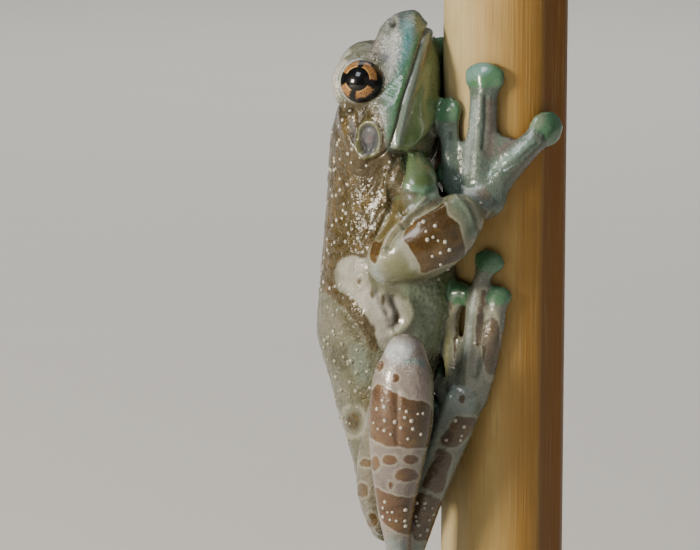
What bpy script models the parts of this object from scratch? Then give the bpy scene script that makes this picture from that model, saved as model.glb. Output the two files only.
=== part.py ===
# Amazon milk frog, life size, clinging to an upright cut length of bamboo on a display stand.
# The frog's back is toward -X, its snout toward +Z and its right side toward -Y.
# Lengths below are in millimetres and angles in degrees. MM turns lengths into metres.

import math

import bmesh
import bpy
import numpy as np
from mathutils import Matrix, Vector

MM = 0.001
GAP = 0.3
RIGHT = -1
LEFT = 1
SIDES = {"right": RIGHT, "left": LEFT}
TOWARD_BACK = np.array((-1.0, 0.0, 0.0))

# Display stand
BASE_RADIUS = 38.0
BASE_HEIGHT = 8.0
BASE_EDGE = 1.5
ROD_RADIUS = 3.0
ROD_LENGTH = 12.0

# Bamboo perch
PERCH_X = 8.0
PERCH_RADIUS = 8.6
PERCH_BOTTOM = BASE_HEIGHT + ROD_LENGTH
PERCH_LENGTH = 102.0
PERCH_TOP = PERCH_BOTTOM + PERCH_LENGTH
PERCH_SIDES = 40
BORE_RADIUS = 5.6
BORE_DEPTH = 1.2
JOINT_HEIGHT = 6.0
JOINT_RISE = 0.5
JOINT_WIDTH = 1.2
CHANNEL_ANGLE = 51.0
CHANNEL_DEPTH = 0.7
CHANNEL_RADIUS = 12.0

# Head and trunk: each station is x, y, z, half depth to the back, to the belly, half width
BODY_STATIONS = (
    (-8.2, 0.0, 39.4, 2.5, 2.3, 3.0),
    (-8.2, 0.0, 42.5, 3.3, 3.1, 4.9),
    (-8.5, 0.0, 46.0, 3.9, 3.9, 6.0),
    (-8.9, 0.0, 50.5, 4.5, 4.9, 7.0),
    (-9.0, 0.0, 55.5, 6.0, 6.3, 8.2),
    (-9.0, 0.0, 61.0, 7.4, 7.8, 9.6),
    (-9.0, 0.0, 67.0, 9.1, 9.9, 11.1),
    (-9.0, 0.0, 72.5, 8.9, 11.6, 11.9),
    (-9.0, 0.0, 79.5, 8.3, 10.8, 11.8),
    (-9.0, 0.0, 86.0, 7.8, 8.8, 11.2),
    (-9.2, 0.0, 91.0, 7.3, 7.0, 10.9),
    (-8.8, 0.0, 94.6, 7.4, 7.7, 12.5),
    (-7.7, 0.0, 98.6, 7.1, 7.0, 12.5),
    (-6.3, 0.0, 102.6, 6.3, 5.8, 11.0),
    (-5.2, 0.0, 105.8, 5.6, 4.4, 9.1),
    (-4.7, 0.0, 108.2, 5.1, 3.1, 7.3),
    (-4.6, 0.0, 109.9, 4.9, 2.1, 5.8),
    (-4.6, 0.0, 111.1, 4.0, 1.5, 4.4),
    (-4.6, 0.0, 111.8, 2.7, 0.9, 2.9),
)
BODY_SIDES = 28
BODY_STEPS = 1
NECK_POINT = (-8.6, 91.4)
NECK_TILT = -24.0
HEAD_TURN = -3.0
HEAD_AXIS_X = -8.5
HEAD_TURN_FROM = 88.0
HEAD_TURN_TO = 97.0

# Eyes, in the orbits that stand out from the head, with their lids
EYE_CENTRE = (-11.3, 8.1, 103.3)
EYE_RADIUS = 3.5
SOCKET_CLEARANCE = 0.39
SOCKET_RADIUS = EYE_RADIUS + SOCKET_CLEARANCE
ORBIT_RADIUS = 4.4
GAZE = (-0.08, 0.97, 0.22)
OPENING_RADIUS = 2.95
LID_RING = 3.05
LID_THICKNESS = 0.42
LID_LEVEL = 2.3

# Eardrums, with a ring round each and a fold of skin above
EARDRUM_CENTRE = (-10.2, 11.8, 96.2)
EARDRUM_FACING = (-0.25, 0.96, 0.05)
EARDRUM_RADIUS = 2.1
EARDRUM_RING = 0.38
EARDRUM_DEPTH = 0.3
FOLD_ROUTE = ((-13.2, 9.6, 100.4), (-13.6, 10.2, 97.2), (-12.6, 10.9, 94.2), (-10.9, 11.2, 92.4))
FOLD_RADIUS = 0.9

# Nostrils on the snout
NOSTRIL_CENTRE = (-7.6, 3.0, 110.9)
NOSTRIL_FACING = (-0.55, 0.45, 0.7)
NOSTRIL_RING = 0.75
NOSTRIL_RIM = 0.35
NOSTRIL_HOLE = 0.45

# Line of the mouth as x and z, from its corner to past the front of the snout
MOUTH_LINE = ((-9.2, 92.6), (-8.1, 93.6), (-7.1, 98.2), (-6.3, 101.3), (-5.1, 105.0),
              (-4.0, 108.2), (-3.1, 110.0), (-1.0, 111.4))
MOUTH_WIDTH = 0.45
MOUTH_DEPTH = 0.8
LIP_WIDTH = 1.0
LIP_OFFSET = 0.95
LIP_RISE = 0.35

# Arms: each station is x, distance from the midline, z, half width along x, half width across,
# and the share of the hand's shift that it takes on the left side
UPPER_ARM_STATIONS = (
    (-7.4, 5.0, 92.6, 3.2, 3.2, 0.0),
    (-5.3, 9.4, 91.0, 3.4, 3.0, 0.05),
    (-4.5, 11.9, 88.6, 3.1, 2.9, 0.15),
    (-5.6, 13.6, 85.0, 2.9, 2.8, 0.3),
    (-7.2, 14.8, 81.8, 3.1, 3.1, 0.4),
)
FOREARM_STATIONS = (
    (-7.9, 15.2, 80.0, 3.6, 3.5, 0.45),
    (-5.6, 15.8, 81.0, 4.3, 3.8, 0.55),
    (-2.9, 15.7, 82.6, 4.6, 3.9, 0.65),
    (-0.3, 15.0, 84.3, 4.4, 3.7, 0.8),
    (1.3, 14.0, 85.7, 3.6, 3.3, 0.9),
)
WRIST_STATIONS = (
    (0.8, 13.3, 85.8, 2.5, 2.2, 0.9),
    (2.8, 11.8, 86.4, 2.6, 1.9, 1.0),
    (4.1, 10.6, 87.6, 2.6, 1.5, 1.0),
)
LEFT_HAND_SHIFT = (-1.9, -0.9, 7.4)
LEFT_HAND_TURN = -12.0

# Hand on the perch: places are an angle round the perch from the frog's side of it, and a height.
# A digit is its route, its thickness against a plain one, its width against its thickness, and the
# half width and half length of its pad. The fingers are wide, because skin fringes both their sides.
PALM_PLACE = (-21.0, 88.0)
PALM_SIZE = (3.2, 1.5, 3.6)
DIGIT_RADIUS = 1.35
DIGIT_LIFT = 0.1
DIGIT_TAPER = (1.05, 1.0, 0.85)
PAD_THICKNESS = 1.05
PAD_SINK = 0.85
WEB_THICKNESS = 0.4
WEB_LEVEL = 1.1
FINGERS = (
    (((-30.0, 86.5), (-45.0, 88.4), (-60.0, 90.6)), 1.0, 1.1, (1.8, 1.8)),
    (((-32.0, 86.8), (-43.0, 89.2), (-49.5, 92.4), (-52.5, 96.6), (-53.5, 99.3)), 1.0, 1.3, (2.2, 2.1)),
    (((-22.5, 88.0), (-23.5, 92.0), (-21.7, 97.0), (-20.2, 101.5), (-20.0, 104.2)), 1.0, 1.6, (2.85, 2.3)),
    (((-17.0, 87.5), (-8.0, 90.2), (6.0, 93.0), (20.0, 95.2), (34.0, 97.0)), 1.0, 1.55, (2.7, 2.7)),
)
FINGER_WEBS = (0.3, 0.5, 0.62)

# Legs
THIGH_STATIONS = (
    (-8.2, 3.6, 41.8, 3.2, 3.0, 0.0),
    (-8.6, 6.6, 46.2, 4.0, 3.5, 0.1),
    (-8.4, 9.2, 51.2, 4.1, 3.4, 0.2),
    (-7.8, 11.5, 56.8, 3.8, 3.1, 0.35),
    (-7.0, 13.4, 62.2, 3.3, 2.8, 0.45),
    (-6.5, 14.8, 66.0, 2.8, 2.5, 0.5),
)
SHANK_STATIONS = (
    (-6.0, 16.6, 67.4, 2.9, 2.9, 0.5),
    (-6.2, 17.1, 65.2, 4.0, 3.6, 0.55),
    (-6.45, 17.4, 61.4, 4.4, 3.8, 0.6),
    (-6.65, 17.3, 57.8, 4.4, 3.75, 0.7),
    (-6.95, 16.8, 53.8, 3.95, 3.4, 0.75),
    (-7.15, 15.9, 49.4, 3.25, 2.9, 0.85),
    (-7.2, 15.0, 45.0, 2.55, 2.35, 0.9),
    (-7.0, 14.1, 40.6, 1.8, 1.9, 0.95),
    (-6.8, 13.4, 37.2, 1.8, 1.9, 1.0),
)
INSTEP_STATIONS = (
    (-6.1, 11.6, 35.9, 1.9, 1.8, 1.0),
    (-4.9, 11.2, 39.3, 1.95, 1.8, 1.0),
    (-3.15, 10.8, 45.3, 2.3, 1.9, 1.0),
    (-1.4, 10.4, 50.2, 2.6, 2.0, 1.0),
    (0.5, 10.0, 55.0, 2.8, 1.9, 1.0),
    (2.1, 9.5, 59.2, 2.9, 1.6, 1.0),
)
LEFT_FOOT_SHIFT = (0.0, 0.0, -1.6)
TOES = (
    (((-46.0, 53.0), (-60.0, 55.0), (-76.0, 57.2)), 0.8, 1.0, (1.4, 1.4)),
    (((-42.0, 56.0), (-57.0, 59.0), (-74.0, 62.4)), 0.85, 1.0, (1.6, 1.6)),
    (((-38.0, 58.0), (-46.0, 62.5), (-49.5, 67.2), (-46.5, 71.3), (-41.0, 74.3)), 0.9, 1.0, (1.9, 1.7)),
    (((-33.0, 58.5), (-29.5, 65.5), (-24.7, 72.0), (-20.0, 76.4), (-14.8, 78.9)), 1.05, 1.1, (2.15, 1.8)),
    (((-25.0, 59.0), (-16.5, 64.0), (-11.5, 68.4), (-8.0, 71.8), (-6.0, 74.2)), 0.9, 1.2, (1.7, 1.6)),
)
TOE_WEBS = (0.5, 0.45, 0.45, 0.4)

# Fineness of the meshes: sides round a form, then rings along it
LIMB_SIDES = 14
LIMB_STEPS = 1
DIGIT_RINGS = 5
DIGIT_BEVEL = 2
PAD_MESH = (10, 6)
PALM_MESH = (10, 6)
WEB_SIDES = 6
WEB_ROWS = 3
EYE_MESH = (14, 9)
ORBIT_MESH = (16, 10)
SOCKET_MESH = (12, 8)
OPENING_SIDES = 16
LID_MESH = (16, 5)
EARDRUM_RING_MESH = (14, 5)
EARDRUM_MESH = (12, 6)
FOLD_STEPS = 2
NOSTRIL_MESH = (10, 5)
NOSTRIL_SIDES = 8
CHANNEL_SIDES = 72
BASE_SIDES = 40
BASE_EDGE_STEPS = 2
ROD_SIDES = 24
SHARP_ANGLE = 40.0

# Points closer than these are one point, in metres
MERGE = 0.000004
TUBE_MERGE = 0.00001

SKIN_BACK = (0.20, 0.16, 0.09)
SKIN_HEAD = (0.30, 0.40, 0.33)
SKIN_LIMB = (0.30, 0.19, 0.10)
SKIN_PALE = (0.42, 0.42, 0.36)
SKIN_PAD = (0.10, 0.26, 0.15)
EYE_COPPER = (0.35, 0.14, 0.04)
BAMBOO = (0.62, 0.43, 0.22)
DARK_WOOD = (0.09, 0.05, 0.03)
STEEL = (0.55, 0.55, 0.56)


def clear_objects():
    """Removes what the opened file holds, so that only the frog is built."""
    for item in list(bpy.data.objects):
        bpy.data.objects.remove(item, do_unlink=True)


def new_collection(name):
    """A collection linked to the scene."""
    collection = bpy.data.collections.new(name)
    bpy.context.scene.collection.children.link(collection)
    return collection


def skin_material(name, colour, roughness, metallic=0.0):
    """One plain Principled material."""
    material = bpy.data.materials.new(name)
    material.use_nodes = True
    shader = material.node_tree.nodes["Principled BSDF"]
    shader.inputs["Base Color"].default_value = (*colour, 1.0)
    shader.inputs["Roughness"].default_value = roughness
    shader.inputs["Metallic"].default_value = metallic
    return material


def piece_from(shape, name):
    """An object in the workings collection from a bmesh in millimetres, which it frees."""
    mesh = bpy.data.meshes.new(name)
    bmesh.ops.scale(shape, vec=Vector((MM, MM, MM)), verts=shape.verts)
    bmesh.ops.recalc_face_normals(shape, faces=shape.faces)
    shape.to_mesh(mesh)
    shape.free()
    piece = bpy.data.objects.new(name, mesh)
    WORKINGS.objects.link(piece)
    return piece


def unit(vectors):
    """Vectors along the last axis brought to length one."""
    return vectors / np.linalg.norm(vectors, axis=-1, keepdims=True)


def smooth_rows(rows, steps):
    """Rows read from a Catmull-Rom curve through the given rows, steps to a stretch."""
    rows = np.array(rows, dtype=float)
    padded = np.vstack((2 * rows[0] - rows[1], rows, 2 * rows[-1] - rows[-2]))
    result = []
    for i in range(len(rows) - 1):
        a, b, c, d = padded[i:i + 4]
        for k in range(steps):
            t = k / steps
            result.append(0.5 * (2 * b + (c - a) * t + (2 * a - 5 * b + 4 * c - d) * t ** 2
                                 + (3 * b - 3 * c + d - a) * t ** 3))
    result.append(rows[-1])
    return np.array(result)


def loft(stations, sides, steps, grow=0.0, toward=TOWARD_BACK):
    """Closed body through oval sections, with round ends.

    A station is x, y, z and three half sizes: along the toward direction, against it, and
    across it. A positive grow makes the same body larger all round, for a clearance. The
    toward direction is one vector, or a function that gives one for each centre.
    """
    rows = smooth_rows(stations, steps)
    centres = rows[:, :3]
    sizes = rows[:, 3:6] + grow
    ahead = unit(np.gradient(centres, axis=0))
    toward = np.broadcast_to(toward(centres) if callable(toward) else toward, centres.shape)
    upper = unit(toward - (ahead * toward).sum(axis=1, keepdims=True) * ahead)
    across = np.cross(ahead, upper)
    turn = np.linspace(0.0, 2.0 * math.pi, sides, endpoint=False)
    cosine = np.cos(turn)
    sine = np.sin(turn)
    shape = bmesh.new()

    def ring(i, share, shift):
        reach = np.where(cosine > 0.0, sizes[i, 0], sizes[i, 1])
        points = centres[i] + ahead[i] * shift + share * (
            np.outer(cosine * reach, upper[i]) + np.outer(sine * sizes[i, 2], across[i]))
        return [shape.verts.new(point) for point in points]

    first_end = sizes[0].min()
    last_end = sizes[-1].min()
    last = len(rows) - 1
    end_angles = (math.radians(60.0), math.radians(30.0))
    rings = [ring(0, math.cos(angle), -first_end * math.sin(angle)) for angle in end_angles]
    rings += [ring(i, 1.0, 0.0) for i in range(len(rows))]
    rings += [ring(last, math.cos(angle), last_end * math.sin(angle)) for angle in reversed(end_angles)]
    start = shape.verts.new(centres[0] - ahead[0] * first_end)
    finish = shape.verts.new(centres[last] + ahead[last] * last_end)
    for k in range(sides):
        after = (k + 1) % sides
        shape.faces.new((start, rings[0][after], rings[0][k]))
        shape.faces.new((finish, rings[-1][k], rings[-1][after]))
        for lower, higher in zip(rings, rings[1:]):
            shape.faces.new((lower[k], lower[after], higher[after], higher[k]))
    return piece_from(shape, "loft")


def turned_to(direction):
    """Rotation that takes +Z to the direction."""
    return Vector(direction).to_track_quat("Z", "Y").to_matrix().to_4x4()


def ball(centre, sizes, direction, fineness):
    """Ellipsoid with its third axis along the direction."""
    shape = bmesh.new()
    bmesh.ops.create_uvsphere(shape, u_segments=fineness[0], v_segments=fineness[1], radius=1.0)
    place = Matrix.Translation(Vector(centre)) @ turned_to(direction) @ Matrix.Diagonal((*sizes, 1.0))
    bmesh.ops.transform(shape, matrix=place, verts=shape.verts)
    return piece_from(shape, "ball")


def rod_between(start, end, radius, sides):
    """Straight cylinder from one point to another."""
    start = Vector(start)
    end = Vector(end)
    shape = bmesh.new()
    bmesh.ops.create_cone(shape, cap_ends=True, segments=sides, radius1=radius, radius2=radius,
                          depth=(end - start).length)
    place = Matrix.Translation((start + end) / 2) @ turned_to(end - start)
    bmesh.ops.transform(shape, matrix=place, verts=shape.verts)
    return piece_from(shape, "rod")


def hoop(centre, direction, ring_radius, thickness, fineness):
    """Torus whose axis is the direction."""
    bpy.ops.mesh.primitive_torus_add(major_radius=ring_radius * MM, minor_radius=thickness * MM,
                                     major_segments=fineness[0], minor_segments=fineness[1])
    piece = bpy.context.object
    place = Matrix.Translation(Vector(centre) * MM) @ turned_to(direction)
    piece.data.transform(place)
    for collection in list(piece.users_collection):
        collection.objects.unlink(piece)
    WORKINGS.objects.link(piece)
    return piece


def tube(points, radii):
    """Round tube through the points, its radius read at each, with both ends closed."""
    curve = bpy.data.curves.new("tube", "CURVE")
    curve.dimensions = "3D"
    curve.bevel_depth = MM
    curve.bevel_resolution = DIGIT_BEVEL
    curve.use_fill_caps = True
    spline = curve.splines.new("POLY")
    spline.points.add(len(points) - 1)
    for spot, point, radius in zip(spline.points, points, radii):
        spot.co = (*(Vector(point) * MM), 1.0)
        spot.radius = radius
    holder = bpy.data.objects.new("tube_curve", curve)
    WORKINGS.objects.link(holder)
    graph = bpy.context.evaluated_depsgraph_get()
    mesh = bpy.data.meshes.new_from_object(holder.evaluated_get(graph))
    bpy.data.objects.remove(holder, do_unlink=True)
    shape = bmesh.new()
    shape.from_mesh(mesh)
    bmesh.ops.remove_doubles(shape, verts=shape.verts, dist=TUBE_MERGE)
    bmesh.ops.recalc_face_normals(shape, faces=shape.faces)
    shape.to_mesh(mesh)
    shape.free()
    piece = bpy.data.objects.new("tube", mesh)
    WORKINGS.objects.link(piece)
    return piece


def ribbon(line, thickness, offset, half_length):
    """Bent plate that follows a line of x and z, and runs out of both sides of the head."""
    line = np.array(line)
    along = unit(np.gradient(line, axis=0))
    normal = np.column_stack((along[:, 1], -along[:, 0]))
    shape = bmesh.new()
    rings = []
    for spot, out in zip(line, normal):
        near = spot + out * (offset - thickness / 2)
        far = spot + out * (offset + thickness / 2)
        corners = ((near, -half_length), (far, -half_length), (far, half_length), (near, half_length))
        rings.append([shape.verts.new((flat[0], y, flat[1])) for flat, y in corners])
    for lower, higher in zip(rings, rings[1:]):
        for k in range(4):
            after = (k + 1) % 4
            shape.faces.new((lower[k], lower[after], higher[after], higher[k]))
    shape.faces.new(list(reversed(rings[0])))
    shape.faces.new(rings[-1])
    bmesh.ops.transform(shape, matrix=head_turning(), verts=shape.verts)
    return piece_from(shape, "ribbon")


def applied(piece):
    """The piece with its modifiers applied."""
    graph = bpy.context.evaluated_depsgraph_get()
    mesh = bpy.data.meshes.new_from_object(piece.evaluated_get(graph))
    piece.modifiers.clear()
    piece.data = mesh
    return piece


def combine(piece, others, operation, solver="EXACT"):
    """One Boolean of a piece with a collection of others, applied, which uses the others up."""
    group = new_collection("operands")
    for other in others:
        WORKINGS.objects.unlink(other)
        group.objects.link(other)
    boolean = piece.modifiers.new("combine", "BOOLEAN")
    boolean.solver = solver
    boolean.operation = operation
    boolean.operand_type = "COLLECTION"
    boolean.collection = group
    applied(piece)
    for other in list(group.objects):
        bpy.data.objects.remove(other, do_unlink=True)
    bpy.data.collections.remove(group)
    return piece


def without_slivers(shape):
    """Merges points that Booleans leave closer than anyone sees, and drops folded double faces."""
    bmesh.ops.triangulate(shape, faces=shape.faces)
    bmesh.ops.remove_doubles(shape, verts=shape.verts, dist=MERGE)
    bmesh.ops.dissolve_degenerate(shape, edges=shape.edges, dist=MERGE / 2)
    bmesh.ops.triangulate(shape, faces=shape.faces)
    seen = {}
    for face in shape.faces:
        seen.setdefault(frozenset(vertex.index for vertex in face.verts), []).append(face)
    doubled = [face for faces in seen.values() if len(faces) > 1 for face in faces]
    bmesh.ops.delete(shape, geom=doubled, context="FACES")
    flaps = [face for face in shape.faces if any(edge.is_boundary for edge in face.edges)
             and any(len(edge.link_faces) > 2 for edge in face.edges)]
    bmesh.ops.delete(shape, geom=flaps, context="FACES")


def islands(shape):
    """Lists of faces that hang together."""
    left = set(shape.faces)
    result = []
    while left:
        found = [left.pop()]
        for face in found:
            for edge in face.edges:
                for neighbour in edge.link_faces:
                    if neighbour in left:
                        left.remove(neighbour)
                        found.append(neighbour)
        result.append(found)
    return result


def finish_node(piece, name, material):
    """Keeps the largest closed surface of a piece and makes it the named node."""
    shape = bmesh.new()
    shape.from_mesh(piece.data)
    without_slivers(shape)
    parts = sorted(islands(shape), key=lambda faces: sum(face.calc_area() for face in faces))
    for faces in parts[:-1]:
        bmesh.ops.delete(shape, geom=faces, context="FACES")
    loose = [vertex for vertex in shape.verts if not vertex.link_faces]
    bmesh.ops.delete(shape, geom=loose, context="VERTS")
    bmesh.ops.recalc_face_normals(shape, faces=shape.faces)
    if shape.calc_volume(signed=True) < 0.0:
        bmesh.ops.reverse_faces(shape, faces=shape.faces)
    shape.to_mesh(piece.data)
    shape.free()
    piece.name = name
    piece.data.name = name
    piece.data.materials.clear()
    piece.data.materials.append(material)
    piece.data.shade_smooth()
    piece.data.set_sharp_from_angle(angle=math.radians(SHARP_ANGLE))
    WORKINGS.objects.unlink(piece)
    FROG.objects.link(piece)
    print(name, "triangles", len(piece.data.polygons))
    return piece


def on_side(point, side):
    """A right-handed or left-handed place from x, distance from the midline, and z."""
    return (point[0], side * point[1], point[2])


def limb(stations, side, shift, grow=0.0):
    """Loft of a limb on one side, with its own share of the shift at each station."""
    rows = []
    for x, out, z, along, across, share in stations:
        dx, dy, dz = (share * amount for amount in shift)
        rows.append((x + dx, side * (out + dy), z + dz, along, along, across))
    return loft(rows, LIMB_SIDES, LIMB_STEPS, grow)


def around_perch(side, angle, height, radius):
    """Point at a distance from the perch's axis, at an angle from the frog's side of it."""
    turn = math.radians(angle)
    return (PERCH_X + radius * math.sin(turn), side * radius * math.cos(turn), height)


def placed(route, turn, lift):
    """A digit's route turned round the perch and lifted."""
    return [(angle + turn, height + lift) for angle, height in route]


def wrapped(piece, side):
    """Bends a flat piece round the perch: its x is the way round, its y the height off the bark."""
    for vertex in piece.data.vertices:
        way, height, z = vertex.co / MM
        point = around_perch(side, math.degrees(way / PERCH_RADIUS), z, PERCH_RADIUS + height)
        vertex.co = Vector(point) * MM
    shape = bmesh.new()
    shape.from_mesh(piece.data)
    bmesh.ops.recalc_face_normals(shape, faces=shape.faces)
    shape.to_mesh(piece.data)
    shape.free()
    return piece


def flat_place(angle, height):
    """Where a place on the perch lies on the bark unrolled: the way round it, and z."""
    return np.array((math.radians(angle) * PERCH_RADIUS, height))


def flat_cushion(middle, lengthwise, half_width, half_length, half_thickness, level, fineness):
    """Rounded cushion on the unrolled bark, its length along a direction there."""
    lengthwise = unit(np.array(lengthwise))
    along = Vector((lengthwise[0], 0.0, lengthwise[1]))
    off = Vector((0.0, 1.0, 0.0))
    turn = Matrix((off.cross(along), along, off)).transposed().to_4x4()
    sizes = Matrix.Diagonal((half_width, half_length, half_thickness, 1.0))
    place = Matrix.Translation((middle[0], level, middle[1])) @ turn @ sizes
    shape = bmesh.new()
    bmesh.ops.create_uvsphere(shape, u_segments=fineness[0], v_segments=fineness[1], radius=1.0)
    bmesh.ops.transform(shape, matrix=place, verts=shape.verts)
    return piece_from(shape, "cushion")


def digit(side, route, scale, width, pad, grow):
    """Flattened shaft of a finger or toe on the perch, and the round pad at its tip."""
    thickness = DIGIT_RADIUS * scale
    level = GAP + DIGIT_LIFT + thickness
    dense = smooth_rows(route, 4)
    rows = dense[np.linspace(0, len(dense) - 1, DIGIT_RINGS).astype(int)]
    ways = [flat_place(angle, height) for angle, height in rows]
    half_widths = np.interp(np.linspace(0.0, 1.0, len(rows)), (0.0, 0.5, 1.0), DIGIT_TAPER) * thickness * width
    shaft = tube([(way, level, height) for way, height in ways], half_widths + grow)
    flatness = (thickness + grow) / (thickness * width + grow)
    for vertex in shaft.data.vertices:
        vertex.co.y = (level + (vertex.co.y / MM - level) * flatness) * MM
    tip = flat_place(*rows[-1])
    lengthwise = tip - flat_place(*rows[-2])
    cushion = flat_cushion(tip, lengthwise, pad[0] + grow, pad[1] + grow, PAD_THICKNESS + grow,
                           GAP + PAD_SINK * PAD_THICKNESS, PAD_MESH)
    return [wrapped(shaft, side), wrapped(cushion, side)]


def web(side, route, next_route, share, grow):
    """Skin between two neighbouring digits, out to a share of their length."""
    rows = []
    for spot in np.linspace(0.0, share, WEB_ROWS):
        ends = []
        for way in (route, next_route):
            dense = smooth_rows(way, 4)
            ends.append(flat_place(*dense[int(spot * (len(dense) - 1))]))
        middle = (ends[0] + ends[1]) / 2
        half = np.linalg.norm(ends[1] - ends[0]) / 2
        rows.append((middle[0], WEB_LEVEL, middle[1], WEB_THICKNESS, WEB_THICKNESS, half))
    return wrapped(loft(rows, WEB_SIDES, 1, grow, np.array((0.0, 1.0, 0.0))), side)


def gripping_piece(side, stations, shift, turn, palm, digits, webs, grow):
    """A hand or foot: its root, its palm where it has one, its digits and the webs between."""
    root = limb(stations, side, shift, grow)
    pieces = []
    if palm:
        middle = flat_place(PALM_PLACE[0] + turn, PALM_PLACE[1] + shift[2])
        half_width, half_thickness, half_length = (size + grow for size in PALM_SIZE)
        level = GAP + DIGIT_LIFT + PALM_SIZE[1]
        upward = (0.0, 1.0)
        cushion = flat_cushion(middle, upward, half_width, half_length, half_thickness, level, PALM_MESH)
        pieces.append(wrapped(cushion, side))
    routes = [placed(plain_route, turn, shift[2]) for plain_route, *sizes in digits]
    for route, (plain_route, *sizes) in zip(routes, digits):
        pieces += digit(side, route, *sizes, grow)
    for route, next_route, share in zip(routes, routes[1:], webs):
        pieces.append(web(side, route, next_route, share, grow))
    return combine(root, pieces, "UNION")


def hand_shift(side):
    """How far the hand on this side stands from the mirrored place of the right one."""
    return LEFT_HAND_SHIFT if side == LEFT else (0.0, 0.0, 0.0)


def foot_shift(side):
    """How far the foot on this side stands from the mirrored place of the right one."""
    return LEFT_FOOT_SHIFT if side == LEFT else (0.0, 0.0, 0.0)


def hand(side, grow=0.0):
    """Wrist, palm, four fingers and their webs."""
    turn = LEFT_HAND_TURN if side == LEFT else 0.0
    return gripping_piece(side, WRIST_STATIONS, hand_shift(side), turn, True, FINGERS, FINGER_WEBS, grow)


def foot(side, grow=0.0):
    """Heel, long instep, five toes and their webs."""
    return gripping_piece(side, INSTEP_STATIONS, foot_shift(side), 0.0, False, TOES, TOE_WEBS, grow)


def upper_arm(side, grow=0.0):
    """Upper arm from inside the shoulder to the elbow."""
    return limb(UPPER_ARM_STATIONS, side, hand_shift(side), grow)


def forearm(side, grow=0.0):
    """Stout forearm from the elbow to the wrist."""
    return limb(FOREARM_STATIONS, side, hand_shift(side), grow)


def thigh(side, grow=0.0):
    """Thigh from the hip up to the knee."""
    return limb(THIGH_STATIONS, side, foot_shift(side), grow)


def shank(side, grow=0.0):
    """Shank from the knee down to the heel."""
    return limb(SHANK_STATIONS, side, foot_shift(side), grow)


def head_turned_back(centres):
    """Direction out of the back, which turns a little to one side from the neck up."""
    share = np.clip((centres[:, 2] - HEAD_TURN_FROM) / (HEAD_TURN_TO - HEAD_TURN_FROM), 0.0, 1.0)
    angle = np.radians(HEAD_TURN) * share
    return np.column_stack((-np.cos(angle), -np.sin(angle), np.zeros(len(angle))))


def body(grow=0.0):
    """Head and trunk in one smooth form."""
    return loft(BODY_STATIONS, BODY_SIDES, BODY_STEPS, grow, head_turned_back)


def head_turning():
    """Turn of the head about the upright line through its middle."""
    middle = Vector((HEAD_AXIS_X, 0.0, 0.0))
    turn = Matrix.Rotation(math.radians(HEAD_TURN), 4, "Z")
    return Matrix.Translation(middle) @ turn @ Matrix.Translation(-middle)


def on_head(point, side):
    """Place on one side of the turned head."""
    return head_turning() @ Vector(on_side(point, side))


def from_head(direction, side):
    """Direction on one side of the turned head."""
    return (head_turning().to_3x3() @ Vector(on_side(direction, side))).normalized()


def parted(piece, point, normal):
    """The side of a piece that the normal points to, closed by a flat face."""
    shape = bmesh.new()
    shape.from_mesh(piece.data)
    everything = shape.verts[:] + shape.edges[:] + shape.faces[:]
    bmesh.ops.bisect_plane(shape, geom=everything, plane_co=Vector(point) * MM, plane_no=Vector(normal),
                           clear_inner=True)
    rim = [edge for edge in shape.edges if edge.is_boundary]
    bmesh.ops.holes_fill(shape, edges=rim, sides=0)
    bmesh.ops.recalc_face_normals(shape, faces=shape.faces)
    shape.to_mesh(piece.data)
    shape.free()
    return piece


def neck_plane(side_of_gap):
    """Point and normal of the flat cut between head and trunk, half a gap to one side."""
    tilt = math.radians(NECK_TILT)
    normal = Vector((math.sin(tilt), 0.0, math.cos(tilt)))
    point = Vector((NECK_POINT[0], 0.0, NECK_POINT[1])) + normal * side_of_gap * GAP / 2
    return point, normal


def torso():
    """Trunk from the neck to the vent, pressed in where limbs and perch lie on it."""
    point, normal = neck_plane(-1)
    piece = parted(body(), point, -normal)
    pressing = [perch_clearance()]
    for side in SIDES.values():
        pressing += [hand(side, GAP), foot(side, GAP), forearm(side, GAP), shank(side, GAP)]
    for other in pressing:
        combine(piece, [other], "DIFFERENCE")
    return piece


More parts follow.
